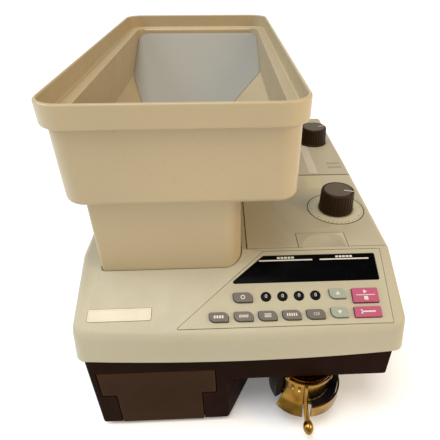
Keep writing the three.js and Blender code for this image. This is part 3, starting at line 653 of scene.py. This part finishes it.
def plate_outline(grow):
    low, high = extent("nameplate", CONSOLE)
    return rect(low.x - grow, high.x + grow, low.y - grow, high.y + grow, 1.2 + grow, 4)


def key_holes(low, high):
    holes = [prism(key_outline(name, GAP), low, high) for name in KEY_NAMES]
    holes += [prism(button_outline(name, GAP), low, high) for name in BUTTON_NAMES]
    holes.append(prism(slanted_outline("display_window", GAP, 1.6), low, high))
    return gathered(holes)


def neck_plan(grow):
    return rect(NECK_LOW.x - grow, NECK_HIGH.x + grow, NECK_LOW.y - grow, NECK_HIGH.y + grow,
                (3 + grow, 15 + grow, 8 + grow, 8 + grow), 10)


def make_cover(shell):
    knob_x, knob_y, _ = centre_of("knob_thickness")
    to_machine = MACHINE.inverted() @ CONSOLE
    cover = cut(
        copy_of(shell),
        prism(neck_plan(0.7), 120, 180),
        block(LID.x0 - 0.8, 300, LID.y0 - 0.6, LID.y1 + 2.4, LID.skirt_z - 0.7, 200),
        prism(circle(knob_x, knob_y, KNOB.shaft + GAP), 130, 170),
        moved(gathered([
            prism(slanted_outline("panel_overlay", GAP, 1), -1.3, 6),
            prism(plate_outline(0.3), -0.7, 6),
        ]), to_machine),
        moved(key_holes(-9, 7), to_machine),
    )
    eased(faceted(cover), 0.35, 2, 40)
    piece(cover, "cover_shell", "chassis", BEIGE, "cover_plastic", "upper_cover")


def make_lid(shell):
    knob_x, knob_y, _ = centre_of("knob_diameter")
    inner, outer = DIAL.inner - 0.3, centre_of("dial_ring")[2] + 0.3
    pocket = lathe([(inner, -0.9), (outer, -0.9), (outer, 3), (inner, 3)], 0, 0)
    lid = kept(copy_of(shell), block(LID.x0, 300, LID.y0, LID.y1, LID.skirt_z, 200))
    cut(lid, block(LATCH.x0 - GAP, LATCH.x1 + GAP, 70, LATCH.y1 + GAP, 120, 170))
    eased(lid, 0.4, 2, 60)
    for x in (152, 246):
        ring = prism(circle(HINGE.y, HINGE.z, 3.3, 24), x, x + 4, "X")
        root = block(x, x + 4, HINGE.y - 12, HINGE.y - 2, HINGE.z - 2, HINGE.z + 5.2)
        joined(lid, ring, kept(root, block(x, x + 4, 0, LID.y1 - 1, 0, 200)))
    cut(
        lid,
        moved(pocket, on_deck(knob_x, knob_y)),
        prism(circle(knob_x, knob_y, KNOB.shaft + GAP), 130, 170),
        prism(circle(HINGE.y, HINGE.z, HINGE.pin + 0.35, 16), 140, 262, "X"),
    )
    piece(lid, "lid_shell", "lid", BEIGE, "cover_plastic", "deck_lid")


def make_latch(shell):
    """Press latch with a finger scoop whose back edge is an arc."""
    core = block(LATCH.x0 + 2, LATCH.x1 - 2, LID.y0, LATCH.y1 - 2, DECK.front_z - 8, 170)
    dish = kept(cover_form(0, COVER.edge), core)
    latch = kept(copy_of(shell), block(LATCH.x0, LATCH.x1, LID.y0, LATCH.y1, 120, 170))
    joined(latch, dish)
    radius = (SCOOP.radius ** 2 + SCOOP.depth ** 2) / (2 * SCOOP.depth)
    centre = deck_height(SCOOP.y) + radius - SCOOP.depth
    profile = [(0, centre + radius)] + arc(0, centre, radius, 80, -85, 33) + [(0, centre - radius)]
    cut(latch, lathe(profile, SCOOP.x, SCOOP.y, 72))
    piece(eased(latch, 0.45, 3, 24), "latch_cap", "latch", BEIGE, "cover_plastic", "lid_latch")


def make_deck():
    shell = cover_shell()
    make_cover(shell)
    make_lid(shell)
    make_latch(shell)
    discard(shell)


# ---------- console pieces


def make_panel():
    panel = prism(slanted_outline("panel_overlay", 0, 0.8), -1, 0)
    cut(panel, key_holes(-5, 5))
    piece(eased(panel, 0.18, 2, 40), "panel_film", "chassis", PANEL_BEIGE, "label_plastic",
          "panel_overlay", CONSOLE)


def bar(x0, x1, s0, s1, low, raised=INK, radius=0.25):
    """Printed bar."""
    return prism(rect(x0, x1, s0, s1, radius, 2), low, low + raised)


def printed_ring(x, s, inner, outer, low, steps):
    """Printed circle."""
    return lathe([(inner, low), (outer, low), (outer, low + INK), (inner, low + INK)], x, s, steps)


def make_display():
    low, high = extent("display_window", CONSOLE)
    window = eased(prism(slanted_outline("display_window", 0, 1.2), low.z, high.z), 0.25, 2, 40)
    face = high.z - 0.02
    rule_s = high.y - 5.3
    marks = []
    for x0, x1 in ((low.x + 25.2, low.x + 71.7), (low.x + 78.2, high.x - 5.5)):
        marks.append(bar(x0, x1, rule_s, rule_s + 1.2, face))
        middle = (x0 + x1) / 2
        for i in range(5):
            left = middle - 7.4 + 3.1 * i
            marks.append(bar(left, left + 2.4, rule_s + 2.1, rule_s + 3.9, face))
    piece(with_marks(window, marks), "display_glass", "chassis", [WINDOW, PALE_INK], "display_glass",
          "display_window", CONSOLE)


def make_nameplate():
    """Plain badge with a raised border and no wording."""
    low, high = extent("nameplate", CONSOLE)
    plate = prism(plate_outline(0), low.z, high.z)
    cut(plate, prism(plate_outline(-1.1), high.z - 0.2, high.z + 1))
    piece(eased(plate, 0.12, 2, 40), "badge_plate", "chassis", LABEL, "label_plastic", "nameplate", CONSOLE)


def key_marks(name, x, s, top):
    """A plain sign that stands for each key's caption."""
    if name in ARROW_KEYS:
        up = 1 if name == "key_up" else -1
        arrow = [(x - 1.9, s - 1.3 * up), (x + 1.9, s - 1.3 * up), (x, s + 1.8 * up)]
        return [prism(arrow[::up], top, top + INK)]
    if name == "key_start_stop":
        play = prism([(x - 1.5, s + 1.2), (x + 1.8, s + 2.9), (x - 1.5, s + 4.6)], top, top + INK)
        return [play, bar(x - 8, x + 8, s - 0.3, s + 0.3, top), bar(x - 1.7, x + 1.7, s - 4.4, s - 1.2, top)]
    if name == "key_clear":
        return [bar(x - 6, x + 6, s - 0.6, s + 0.6, top), bar(x - 6, x - 4.8, s - 1.9, s + 1.9, top)]
    if name == "key_mode":
        return [printed_ring(x, s, 1.2, 1.9, top, 20)]
    if name == "key_function":
        return [bar(x - 4 + 2.1 * i, x - 2.6 + 2.1 * i, s - 1.2, s + 1.2, top) for i in range(4)]
    if name == "key_type":
        return [printed_ring(x + dx, s, 0.6, 1.2, top, 16) for dx in (-2.6, 0, 2.6)]
    if name == "key_set":
        return [bar(x - 2.8, x + 2.8, s + ds - 0.3, s + ds + 0.3, top) for ds in (-1.2, 0, 1.2)]
    if name == "key_batch":
        return [bar(x - 4.2 + 1.8 * i, x - 3.2 + 1.8 * i, s - 1.3, s + 1.3, top) for i in range(5)]
    return [moved(digits("123", 3.6), Matrix.Translation((x, s, top)))]


KEY_FINISHES = dict.fromkeys(ARROW_KEYS, (KEY_GREEN, "green_key_plastic"))
KEY_FINISHES.update(dict.fromkeys(ROSE_KEYS, (KEY_ROSE, "rose_key_plastic")))


def make_keys():
    for name in KEY_NAMES:
        low, high = extent(name, CONSOLE)
        cap = prism(key_outline(name), low.z + 0.6, high.z)
        flange = block(low.x, high.x, low.y, high.y, low.z, low.z + 1)
        eased(joined(cap, flange), 0.4, 3, 40)
        x, s, _ = centre_of(name, CONSOLE)
        marks = key_marks(name, x, s, high.z - 0.02)
        finish, slot = KEY_FINISHES.get(name, (KEY_GREY, "grey_key_plastic"))
        piece(with_marks(cap, marks), name + "_cap", name, [finish, PALE_INK], slot, name, CONSOLE)


def make_buttons():
    for name in BUTTON_NAMES:
        low, high = extent(name, CONSOLE)
        x, s, outer = centre_of(name, CONSOLE)
        radius = outer - KEY_SKIRT
        profile = [(0, low.z), (outer, low.z), (outer, low.z + 1), (radius, low.z + 1),
                   (radius, high.z - 0.9), (radius - 0.3, high.z - 0.35), (radius - 1, high.z - 0.05),
                   (radius - 2, high.z), (0, high.z)]
        mark = moved(digits("0", 4.4), Matrix.Translation((x, s, high.z - 0.03)))
        piece(with_marks(lathe(profile, x, s, 40), [mark]), name + "_cap", name, [BLACK, PALE_INK],
              "button_plastic", name, CONSOLE)


# ---------- dial and knobs


def make_dial():
    """Flat scale round the diameter knob, with a dark rim and ticks."""
    x, y, _ = centre_of("knob_diameter")
    outer = centre_of("dial_ring")[2]
    rim, under = outer - DIAL.rim, -DIAL.thick
    plate = lathe([(DIAL.inner, under), (rim, under), (rim, 0), (DIAL.inner, 0)], 0, 0, 96)
    marks = [lathe([(rim, under), (outer, under), (outer, 0.05), (rim, 0.05)], 0, 0, 96)]
    for i in range(40):
        turn = Matrix.Rotation(radians(9 * i), 4, "Z")
        length = 3.4 if i % 4 == 0 else 1.8
        marks.append(moved(bar(outer - 1.6 - length, outer - 1.6, -0.24, 0.24, -0.02, 0.07, 0), turn))
    scale = moved(with_marks(plate, marks), on_deck(x, y))
    piece(scale, "dial_scale", "lid", [PANEL_BEIGE, DARK_INK], "label_plastic", "dial_ring")


def knob_ring(radius, z, depth):
    """Section of a fluted knob: shallow rounded hollows all round."""
    points = []
    steps = KNOB.flutes * 6
    for i in range(steps):
        a = 2 * pi * i / steps
        r = radius - depth * (0.5 - 0.5 * cos(a * KNOB.flutes)) ** 2
        points.append((r * cos(a), r * sin(a), z))
    return points


def make_knob(node, name, body, pointer, skirt):
    """Fluted knob with an inlaid disc and a pointer line at an angle in degrees."""
    x, y, _ = centre_of(node)
    low, high = extent(node)
    top, seat = high.z, high.z - KNOB.height
    flute, rim = KNOB.flute, KNOB.cap
    levels = [
        (skirt, seat, 0), (skirt, seat + 1.2, 0), (16.9, seat + 1.8, 0.1), (16.8, seat + 3, flute),
        (16.2, top - 3.2, flute), (16, top - 1.6, 0.3), (15.7, top - 0.7, 0), (15, top - 0.1, 0),
        (14.2, top, 0),
    ]
    knob = moved(loft([knob_ring(*level) for level in levels]), Matrix.Translation((x, y, 0)))
    joined(knob, prism(circle(x, y, KNOB.shaft, 20), low.z, seat + 2))
    spin = Matrix.Translation((x, y, 0)) @ Matrix.Rotation(radians(pointer), 4, "Z")
    line = moved(block(5.8, 15.1, -0.6, 0.6, top - 0.45, top + 0.14), spin)
    disc = [(0, top - 0.4), (rim, top - 0.4), (rim, top - 0.02), (rim - 0.4, top + 0.02), (0, top + 0.02)]
    cap = lathe(disc, x, y, 64)
    cut(knob, lathe([(0, top - 0.5), (rim + 0.2, top - 0.5), (rim + 0.2, top + 1), (0, top + 1)], x, y, 64))
    piece(knob, name, body, KNOB_BROWN, "knob_plastic", node)
    piece(cap, name + "_disc", body, KNOB_CAP, "knob_plastic")
    piece(line, name + "_pointer", body, PALE_INK, "label_plastic")


# ---------- hopper and neck

RIM = Sizes(z=269.4, step=5, ledge=272.2, wall=2.8)
CAVITY = Sizes(x0=12, x1=171.5, y0=53, y1=407, corner=13)
MOUTH = Sizes(x0=29, x1=132, y0=62, y1=274)
RAMP_TOP = Sizes(back=266, left=232.5, right=234, front=224)
RAMP_WALL = 3.4  # height of the wall under the back ramp
BACK_LIP = 3  # radius of the ledge's rear inner edge
UNDERCUT = 6  # how far cutting solids reach below the hopper


def inset_ring(low, high, inset, z, corner):
    radius = max(corner - inset, 1.5)
    outline = rect(low.x + inset, high.x - inset, low.y + inset, high.y - inset, radius, 8)
    return [(x, y, z) for x, y in outline]


def coin_section(span, mouth, ramp_tops, shrink, top):
    """Section of the coin space: straight walls down to the ramps, and the ramps down to the mouth."""
    mouth_z = extent("hopper")[0].z
    under = mouth_z - UNDERCUT
    return [
        (span[0] + shrink, top), (span[0] + shrink, ramp_tops[0]),
        (mouth[0] + shrink, mouth_z), (mouth[0] + shrink, under),
        (mouth[1] - shrink, under), (mouth[1] - shrink, mouth_z),
        (span[1] - shrink, ramp_tops[1]), (span[1] - shrink, top),
    ]


def coin_space(shrink, top=280):
    """What the coins fill: straight walls at the top, ramps on all four sides below."""
    x0, x1, y0, y1 = CAVITY.x0, CAVITY.x1, CAVITY.y0, CAVITY.y1
    tops = (RAMP_TOP.front, RAMP_TOP.back)
    lengthwise = coin_section((y0, y1), (MOUTH.y0, MOUTH.y1), tops, shrink, top)
    tops = (RAMP_TOP.left, RAMP_TOP.right)
    crosswise = coin_section((x0, x1), (MOUTH.x0, MOUTH.x1), tops, shrink, top)
    plan = rect(x0 + shrink, x1 - shrink, y0 + shrink, y1 - shrink, CAVITY.corner - shrink, 10)
    return kept(prism(plan, 190, top), prism(lengthwise, 0, 190, "X"), prism(crosswise, 0, 440, "Y"))


def make_hopper():
    low, high = extent("hopper")
    corner, foot = 22, 4.5
    profile = arc(RIM.step + foot, low.z + foot, foot, 270, 180, 6)
    profile += [(RIM.step, RIM.z - 0.8), (RIM.step - 0.6, RIM.z)]
    profile += arc(1.8, RIM.z + 1.8, 1.8, 270, 180, 4)
    profile += arc(1.8, high.z - 1.8, 1.8, 180, 90, 4)
    profile += arc(RIM.wall - 1.2, high.z - 1.2, 1.2, 90, 0, 4)
    profile += [(RIM.wall, RIM.ledge + 1.2), (RIM.wall + 0.4, RIM.ledge + 0.3),
                (RIM.wall + 1.2, RIM.ledge)]
    hopper = loft([inset_ring(low, high, inset, z, corner) for inset, z in profile])
    cut(hopper, coin_space(0))
    eased(hopper, 0.5, 2, 40)
    back, ledge = CAVITY.y1, RIM.ledge
    lip = [(back - 1, ledge - BACK_LIP), (back - 1, ledge + 1), (back + BACK_LIP, ledge + 1)]
    lip += arc(back + BACK_LIP, ledge - BACK_LIP, BACK_LIP, 90, 180, 6)
    under, outside = low.z - UNDERCUT, CAVITY.x1 + 2
    right_side = [(MOUTH.x1 + 9, under), (outside, under), (outside, RAMP_TOP.right - 5)]
    cut(
        hopper,
        prism(lip, CAVITY.x0 + 1, CAVITY.x1 - 1, "X"),
        ramp_hollow(low.z, NECK_HIGH.y + 3, high.y - 9),
        ramp_hollow(low.z, MOUTH.y1 + 20, NECK_HIGH.y - 4),
        prism(right_side, MOUTH.y0, MOUTH.y1, "Y"),
    )
    piece(hopper, "hopper_shell", "chassis", HOPPER_BEIGE, "hopper_plastic", "hopper")
    make_ramp_panel(low.z)


def ramp_height(mouth_z, y):
    slope = (RAMP_TOP.back - mouth_z) / (CAVITY.y1 - MOUTH.y1)
    return mouth_z + slope * (y - MOUTH.y1)


def ramp_hollow(mouth_z, y0, y1):
    """The space under a stretch of the back ramp, open below."""
    end = min(y1, CAVITY.y1 - 3)
    low, high = (ramp_height(mouth_z, y) - RAMP_WALL for y in (y0, end))
    under = mouth_z - UNDERCUT
    return prism([(y0, under), (y1, under), (y1, high), (end, high), (y0, low)], 17, 165, "X")


def make_ramp_panel(mouth_z):
    """Grey plate on the back ramp, cut to fit between the side ramps."""
    thick = 0.9
    start, end = MOUTH.y1 + 0.5, CAVITY.y1 - 0.5
    low, high = ramp_height(mouth_z, start), ramp_height(mouth_z, end)
    band = prism([(start, low), (end, high), (end, high + thick), (start, low + thick)], 0, 190, "X")
    sheet = kept(band, coin_space(0.7, 290))
    piece(eased(sheet, 0.15, 1, 40), "ramp_plate", "chassis", RAMP_GREY, "hopper_plastic")


def funnel_form(grow, bottom):
    """Four-sided funnel over the feed disc, grown outwards."""
    middle = (NECK_LOW + NECK_HIGH) / 2
    rings = []
    for share, z in ((FUNNEL.throat, bottom), (1.0, FUNNEL.top)):
        dx, dy = (FUNNEL.half_x + grow) * share, (FUNNEL.half_y + grow) * share
        corners = ((-1, -1), (1, -1), (1, 1), (-1, 1))
        rings.append([(middle.x + sx * dx, middle.y + sy * dy, z) for sx, sy in corners])
    return loft(rings)


def make_neck():
    low, high = extent("feeder_housing")
    inner = rect(NECK_LOW.x + NECK_WALL, NECK_HIGH.x - NECK_WALL, NECK_LOW.y + NECK_WALL,
                 NECK_HIGH.y - NECK_WALL, (1, 12, 5, 5), 10)
    neck = prism(neck_plan(0), NECK_LOW.z, high.z)
    bore = funnel_form(0, low.z - 1)
    funnel = kept(funnel_form(FUNNEL.wall, low.z - 1), prism(neck_plan(-0.5), low.z, FUNNEL.top))
    cut(neck, cut(prism(inner, NECK_LOW.z - 1, FUNNEL.top - 4), copy_of(funnel)))
    joined(neck, funnel)
    cut(neck, prism(inner, FUNNEL.top - 0.5, 230), bore)
    eased(faceted(neck), 0.4, 2, 40)
    piece(neck, "neck_housing", "chassis", HOPPER_BEIGE, "cover_plastic", "feeder_housing")


# ---------- base, drawer and feet

BASE = Sizes(x0=5.4, x1=259.6, y0=1, y1=395, z0=4, z1=98, wall=3)
REAR_WALL = (388, 402)
POSTS = [(16, 140), (16, 380), (248, 380), (248, 120)]
RECESS = Sizes(x=121, slant=0.512, rear_y=105, roof=61)
DRAWER = Sizes(x0=23.9, x1=98.5, wing_x0=11.9, wing_x1=110.9, wing_z=45, top_z=75.1)


def full_height_plan(inset):
    """The part of the base that stands on the floor, with a slanted wall beside the recess."""
    x0, x1, y0, y1 = BASE.x0 + inset, BASE.x1 - inset, BASE.y0 + inset, BASE.y1 - inset
    skew = 0.612 * inset
    slant_x = RECESS.x + (RECESS.rear_y - BASE.y0) * RECESS.slant
    rear_y = RECESS.rear_y + inset
    return [(x0, y0), (RECESS.x - skew, y0), (slant_x - skew, rear_y), (x1, rear_y), (x1, y1), (x0, y1)]


def tray_box(inset, top):
    """The tray over the recess, which joins the rest of the base at the back."""
    return block(BASE.x0 + inset, BASE.x1 - inset, BASE.y0 + inset, RECESS.rear_y + 20,
                 RECESS.roof + inset, top)


def t_outline(grow):
    """The drawer's front, narrow below and wide above."""
    x0, x1 = DRAWER.x0 - grow, DRAWER.x1 + grow
    wing_x0, wing_x1 = DRAWER.wing_x0 - grow, DRAWER.wing_x1 + grow
    wing_z, top = DRAWER.wing_z - grow, DRAWER.top_z + grow
    return [(x0, 0), (x1, 0), (x1, wing_z), (wing_x1, wing_z), (wing_x1, top), (wing_x0, top),
            (wing_x0, wing_z), (x0, wing_z)]


def rear_hole(node, ledge_x, ledge_z):
    """Hole in the rear wall for a fitting, narrower than the fitting by a ledge on each side."""
    low, high = extent(node)
    return block(low.x + ledge_x - GAP, high.x - ledge_x + GAP, *REAR_WALL,
                 low.z + ledge_z - GAP, high.z - ledge_z + GAP)


def make_base():
    tall = prism(full_height_plan(0), BASE.z0, 120)
    outer = eased(joined(tall, tray_box(0, 120)), 2.6, 4, 36)
    inside = joined(prism(full_height_plan(BASE.wall), BASE.z0 + BASE.wall, 125),
                    tray_box(BASE.wall, 125))
    cut(inside, *[prism(circle(x, y, 5, 20), BASE.z0 + 1, 83.7) for x, y in POSTS])
    vents = [prism(rect(150 + 10 * i, 154 + 10 * i, 25, 62, 1.9, 5), *REAR_WALL, "Y") for i in range(6)]
    cut(
        outer,
        inside,
        block(-10, 300, -10, 420, BASE.z1, 130),
        block(-10, 300, -10, 8, COVER.bottom - GAP, 130),
        prism(t_outline(GAP + 0.2), -2, 4.6, "Y"),
        prism(circle(*SPOUT_AXIS, SPOUT.bore, 40), RECESS.roof - 2, RECESS.roof + 6),
        gathered([rear_hole("power_inlet", 4, 3), rear_hole("power_switch", 0, -1)] + vents),
    )
    piece(eased(outer, 0.4, 2, 40), "base_shell", "chassis", BROWN, "base_plastic", "base_housing")


def make_drawer():
    front = prism(t_outline(0), BASE.y0, 4, "Y")
    kept(front, block(0, 130, 0, 10, BASE.z0 + GAP, 80))
    eased(front, 0.8, 3, 40)
    tray = cut(block(26, 96.4, 3.5, 122, 8, 68), block(28, 94.4, 6, 120, 10, 80))
    joined(front, tray)
    piece(front, "drawer_front", "drawer", DRAWER_BROWN, "base_plastic", "reject_drawer")


def make_feet():
    for node in [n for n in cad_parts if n.startswith("foot_")]:
        low, high = extent(node)
        x, y, r = centre_of(node)
        profile = [(2.4, low.z + 1.2), (3.4, low.z), (r - 0.8, low.z), (r, low.z + 0.8),
                   (r - 0.6, high.z - 0.5), (r - 1.1, high.z), (0, high.z), (0, low.z + 1.2)]
        piece(lathe(profile, x, y, 40), node + "_pad", "chassis", RUBBER, "foot_rubber", node)


# ---------- outlet spout and bag clamp


APRON = Sizes(start=213, end=260, lip=33, lip_z=22.5, top_z=44, flare=9.5, wall=1.1)
# The black collar is partly painted shade: its right part and its low band fill the shaded gap between the
# tube and the hoop.
COLLAR_AND_SHADE_FILL = Sizes(inner=24.4, bore=25.8, low=30, narrow=30.6, wide=32.5, rim_z=35)
BAIL = Sizes(inner=24.3, outer=25.8, low=54.6, high=58.2, stud_z=57.6)


def spout_sector(inner, outer, start, end, low, high, steps=40):
    """Piece of a ring round the spout, between two angles in degrees."""
    outline = arc(*SPOUT_AXIS, outer, start, end, steps) + arc(*SPOUT_AXIS, inner, end, start, steps)
    return prism(outline, low, high)


def bell_curve(inset):
    """Profile of the apron from its flared lip up to the tube, as radius and height."""
    rise = APRON.top_z - APRON.lip_z
    points = []
    for i in range(13):
        z = APRON.lip_z + rise * (i / 12) ** 1.3
        share = ((APRON.top_z - z) / rise) ** 2.6
        radius = SPOUT.radius + 0.2 + 0.98 * APRON.flare * share
        points.append((radius - inset * (1 - 0.25 * share), z - inset * share))
    return points


def make_spout():
    """Tube with a rolled bead, and a flared apron round its front left."""
    top = extent("outlet_spout")[1].z
    radius, end = SPOUT.radius, SPOUT.end
    inner = radius - SPOUT.wall
    profile = [(inner, top), (inner, end - 0.4)]
    profile += arc(radius + 0.3, end + 0.1, 1.4, 200, 480, 14)
    profile += [(radius, end + 2), (radius, top)]
    spout = lathe(profile, *SPOUT_AXIS, 96)
    flare = bell_curve(APRON.wall)[::-1] + [(APRON.lip, APRON.lip_z)] + bell_curve(0)
    apron = kept(lathe(flare, *SPOUT_AXIS, 96), spout_sector(20, 40, APRON.start, APRON.end, 0, 60))
    front = kept(
        spout_sector(0.5, radius - 0.5, 225, 315, top - 1, top),
        block(150, 240, -20, SPOUT_AXIS[1] - SPOUT.bore, 50, 70),
    )
    joined(spout, eased(apron, 0.3, 2, 50), front)
    piece(spout, "spout_bell", "chassis", BRASS, "spout_brass", "outlet_spout")


def make_collar_and_shade_fill():
    """Black ring round the back of the tube, longer on the left, with a low rim on the right. Its right part
    and the low rim are painted shade: black set in the dark gap between the tube and the hoop.
    """
    top = extent("outlet_collar")[1].z
    # The two sectors on the right, full height and low band, are black put where the gap between tube and
    # hoop is only in shade: painted shade.
    sectors = [(COLLAR_AND_SHADE_FILL.narrow, -22, 99, top), (COLLAR_AND_SHADE_FILL.wide, 98, 210, top),
               (COLLAR_AND_SHADE_FILL.narrow, -84, -21, COLLAR_AND_SHADE_FILL.rim_z)]
    collar = joined(*[spout_sector(COLLAR_AND_SHADE_FILL.inner, outer, start, end, COLLAR_AND_SHADE_FILL.low, high)
                      for outer, start, end, high in sectors])
    cut(collar, prism(circle(*SPOUT_AXIS, COLLAR_AND_SHADE_FILL.bore, 96), 20, 33))
    piece(collar, "spout_collar_and_shade_fill", "chassis", BLACK, "collar_plastic", "outlet_collar")


def make_hoop():
    hoop = spout_sector(31.4, 33, -88, 95, 22.5, 36, 60)
    piece(eased(hoop, 0.5, 3, 40), "clamp_band", "clamp_hoop", BRASS, "spout_brass", "bag_clamp_hoop")


def make_lever():
    """Bail on two studs round the front of the tube, with a rod and a grip."""
    bail = spout_sector(BAIL.inner, BAIL.outer, 221, 319, BAIL.low, BAIL.high)
    lever = eased(bail, 0.5, 3, 40)
    hub = Vector((*SPOUT_AXIS, BAIL.stud_z))
    studs = []
    for turn in (222, 318):
        out = Vector((cos(radians(turn)), sin(radians(turn)), 0))
        path = [hub + out * reach for reach in (24.2, 24.5, 26.1, 26.6)]
        studs.append(tube(path, [1.9, 2.2, 2.2, 1.6], 24))
    rod = tube([(188.9, -6.0, 57.8), (189, -6.2, 56.6), (189.6, -6.4, 40), (189.8, -7.2, 35), (190, -9, 31),
                (190.4, -11.6, 26.6), (190.9, -14.2, 22.8), (191.3, -16.4, 20.4)],
               [1.3, 1.9, 2, 2.1, 2.1, 2.2, 2.4, 2.8], 20)
    grip_start, grip_end = -15.2, extent("clamp_lever")[0].y + 0.05
    grip_path, grip_radii = [], []
    for i in range(13):
        share = i / 12
        y = grip_start + (grip_end - grip_start) * share
        grip_path.append((191.5 - 0.2 * share, y, 20.6 - 4.0 * share))
        grip_radii.append(0.3 + 4.3 * sin(pi * min(1, 0.12 + share * 0.86)) ** 0.55)
    joined(lever, *studs, rod, tube(grip_path, grip_radii, 24))
    piece(lever, "clamp_handle", "clamp_lever", BRASS, "spout_brass", "clamp_lever")


# ---------- printed signs on the deck


def deck_sheet(x0, x1, y0, y1, raised=0.1):
    """Thin sheet that follows the deck."""
    spots = [y0, DECK.knee_y, y1] if y0 < DECK.knee_y < y1 else [y0, y1]
    low = [(y, deck_height(y) - 0.03) for y in spots]
    high = [(y, deck_height(y) + raised) for y in reversed(spots)]
    return prism(low + high, x0, x1, "X")


def make_deck_signs():
    """Pale labels beside the knobs, without wording."""
    piece(deck_sheet(213, 230, 175, 204), "lid_label", "lid", FAINT_LABEL, "label_plastic")
    piece(deck_sheet(221, 231, 211, 288), "cover_label", "chassis", LILAC_LABEL, "label_plastic")
    marks = [deck_sheet(246 + 3.2 * i, 248.4 + 3.2 * i, y, y + 4, 0.05)
             for i in range(5) for y in (223, 233)]
    piece(gathered(marks), "cover_print", "chassis", FAINT_INK, "label_plastic")


# ---------- CAD nodes that stay

KEPT_FINISHES = [
    (STEEL, ["chassis_plate", "lid_hinge_pin", "disc_shaft", "disc_pulley", "motor_pulley", "drive_motor",
             "transport_roller_front", "transport_roller_rear", "transport_frame", "coin_rail",
             "width_guide", "thickness_gate", "power_supply", "feed_disc"]),
    (BRASS, ["disc_bearing"]),
    (BELT, ["drive_belt", "transport_belt"]),
    (BOARD, ["keypad_board", "control_board"]),
    (BLACK, ["coin_sensor", "power_inlet", "power_switch"]),
]


def dress_kept_nodes():
    for material, nodes in KEPT_FINISHES:
        for node in nodes:
            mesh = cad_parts[node].data
            mesh.materials.clear()
            mesh.materials.append(material)


# ---------- studio

FLOOR_GLOW = 0.12  # lifts the soft shadow on the pale floor


def make_floor():
    floor = prism(circle(0, 0, 14, 96), -0.02, 0)
    finish = Finish("studio_floor", 0.9)
    finish.colour(finish.ramp(finish.noise(3, 2), [(0.3, grey(0.86)), (0.7, grey(0.89))]))
    finish.put("Specular IOR Level", 0.1)
    finish.put("Emission Color", grey(1))
    finish.put("Emission Strength", FLOOR_GLOW)
    floor.data.materials.append(finish.material)
    floor.name = "studio_floor"


def add_lamp(name, kind, place, target, energy, colour=(1, 1, 1)):
    """Lamp at a place, turned towards a target."""
    light = bpy.data.lights.new(name, kind)
    light.energy = energy
    light.color = colour
    lamp = linked(name, light)
    lamp.location = place
    lamp.rotation_euler = (Vector(target) - lamp.location).to_track_quat("-Z", "Y").to_euler()
    return light


def make_lights():
    world = bpy.data.worlds.new("studio")
    bpy.context.scene.world = world
    world.use_nodes = True
    sky = world.node_tree.nodes["Background"]
    sky.inputs["Color"].default_value = (1, 1, 1, 1)
    sky.inputs["Strength"].default_value = 0.5
    key = add_lamp("key_light", "SUN", (-0.4, -0.4, 2.3), (0, 0, 0), 1.75)
    key.angle = radians(34)
    cool = add_lamp("cool_fill", "AREA", (-1.5, -0.1, 1.15), (0, 0, 0.25), 14, (0.82, 0.92, 1))
    cool.size = 0.8
    warm = add_lamp("warm_fill", "AREA", (1.3, -0.6, 1.1), (0, 0, 0.15), 14, (1, 0.72, 0.38))
    warm.size = 0.9


def make_camera():
    data = bpy.data.cameras.new("camera")
    camera = linked("camera", data)
    camera.location = MACHINE @ Vector((123.6, -220.2, 370.8))
    yaw, pitch, roll = (radians(turn) for turn in (2.7, -35.2, 0.1))
    forward = Vector((sin(yaw) * cos(pitch), cos(yaw) * cos(pitch), sin(pitch)))
    aim = forward.to_track_quat("-Z", "Y").to_matrix() @ Matrix.Rotation(roll, 3, "Z")
    camera.rotation_euler = aim.to_euler()
    data.sensor_width = 36
    data.lens = 34.13
    data.shift_x = -0.0516
    data.shift_y = 0.032
    data.clip_start = 0.01
    bpy.context.scene.camera = camera
    bpy.context.scene.view_settings.view_transform = "Standard"


make_camera()
make_lights()
make_floor()
make_deck()
make_panel()
make_display()
make_nameplate()
make_keys()
make_buttons()
make_dial()
make_knob("knob_diameter", "diameter_grip", "diameter_knob", -20, 17.1)
make_knob("knob_thickness", "thickness_grip", "thickness_knob", 10, 17.5)
make_hopper()
make_neck()
make_base()
make_drawer()
make_feet()
make_spout()
make_collar_and_shade_fill()
make_hoop()
make_lever()
make_deck_signs()
dress_kept_nodes()
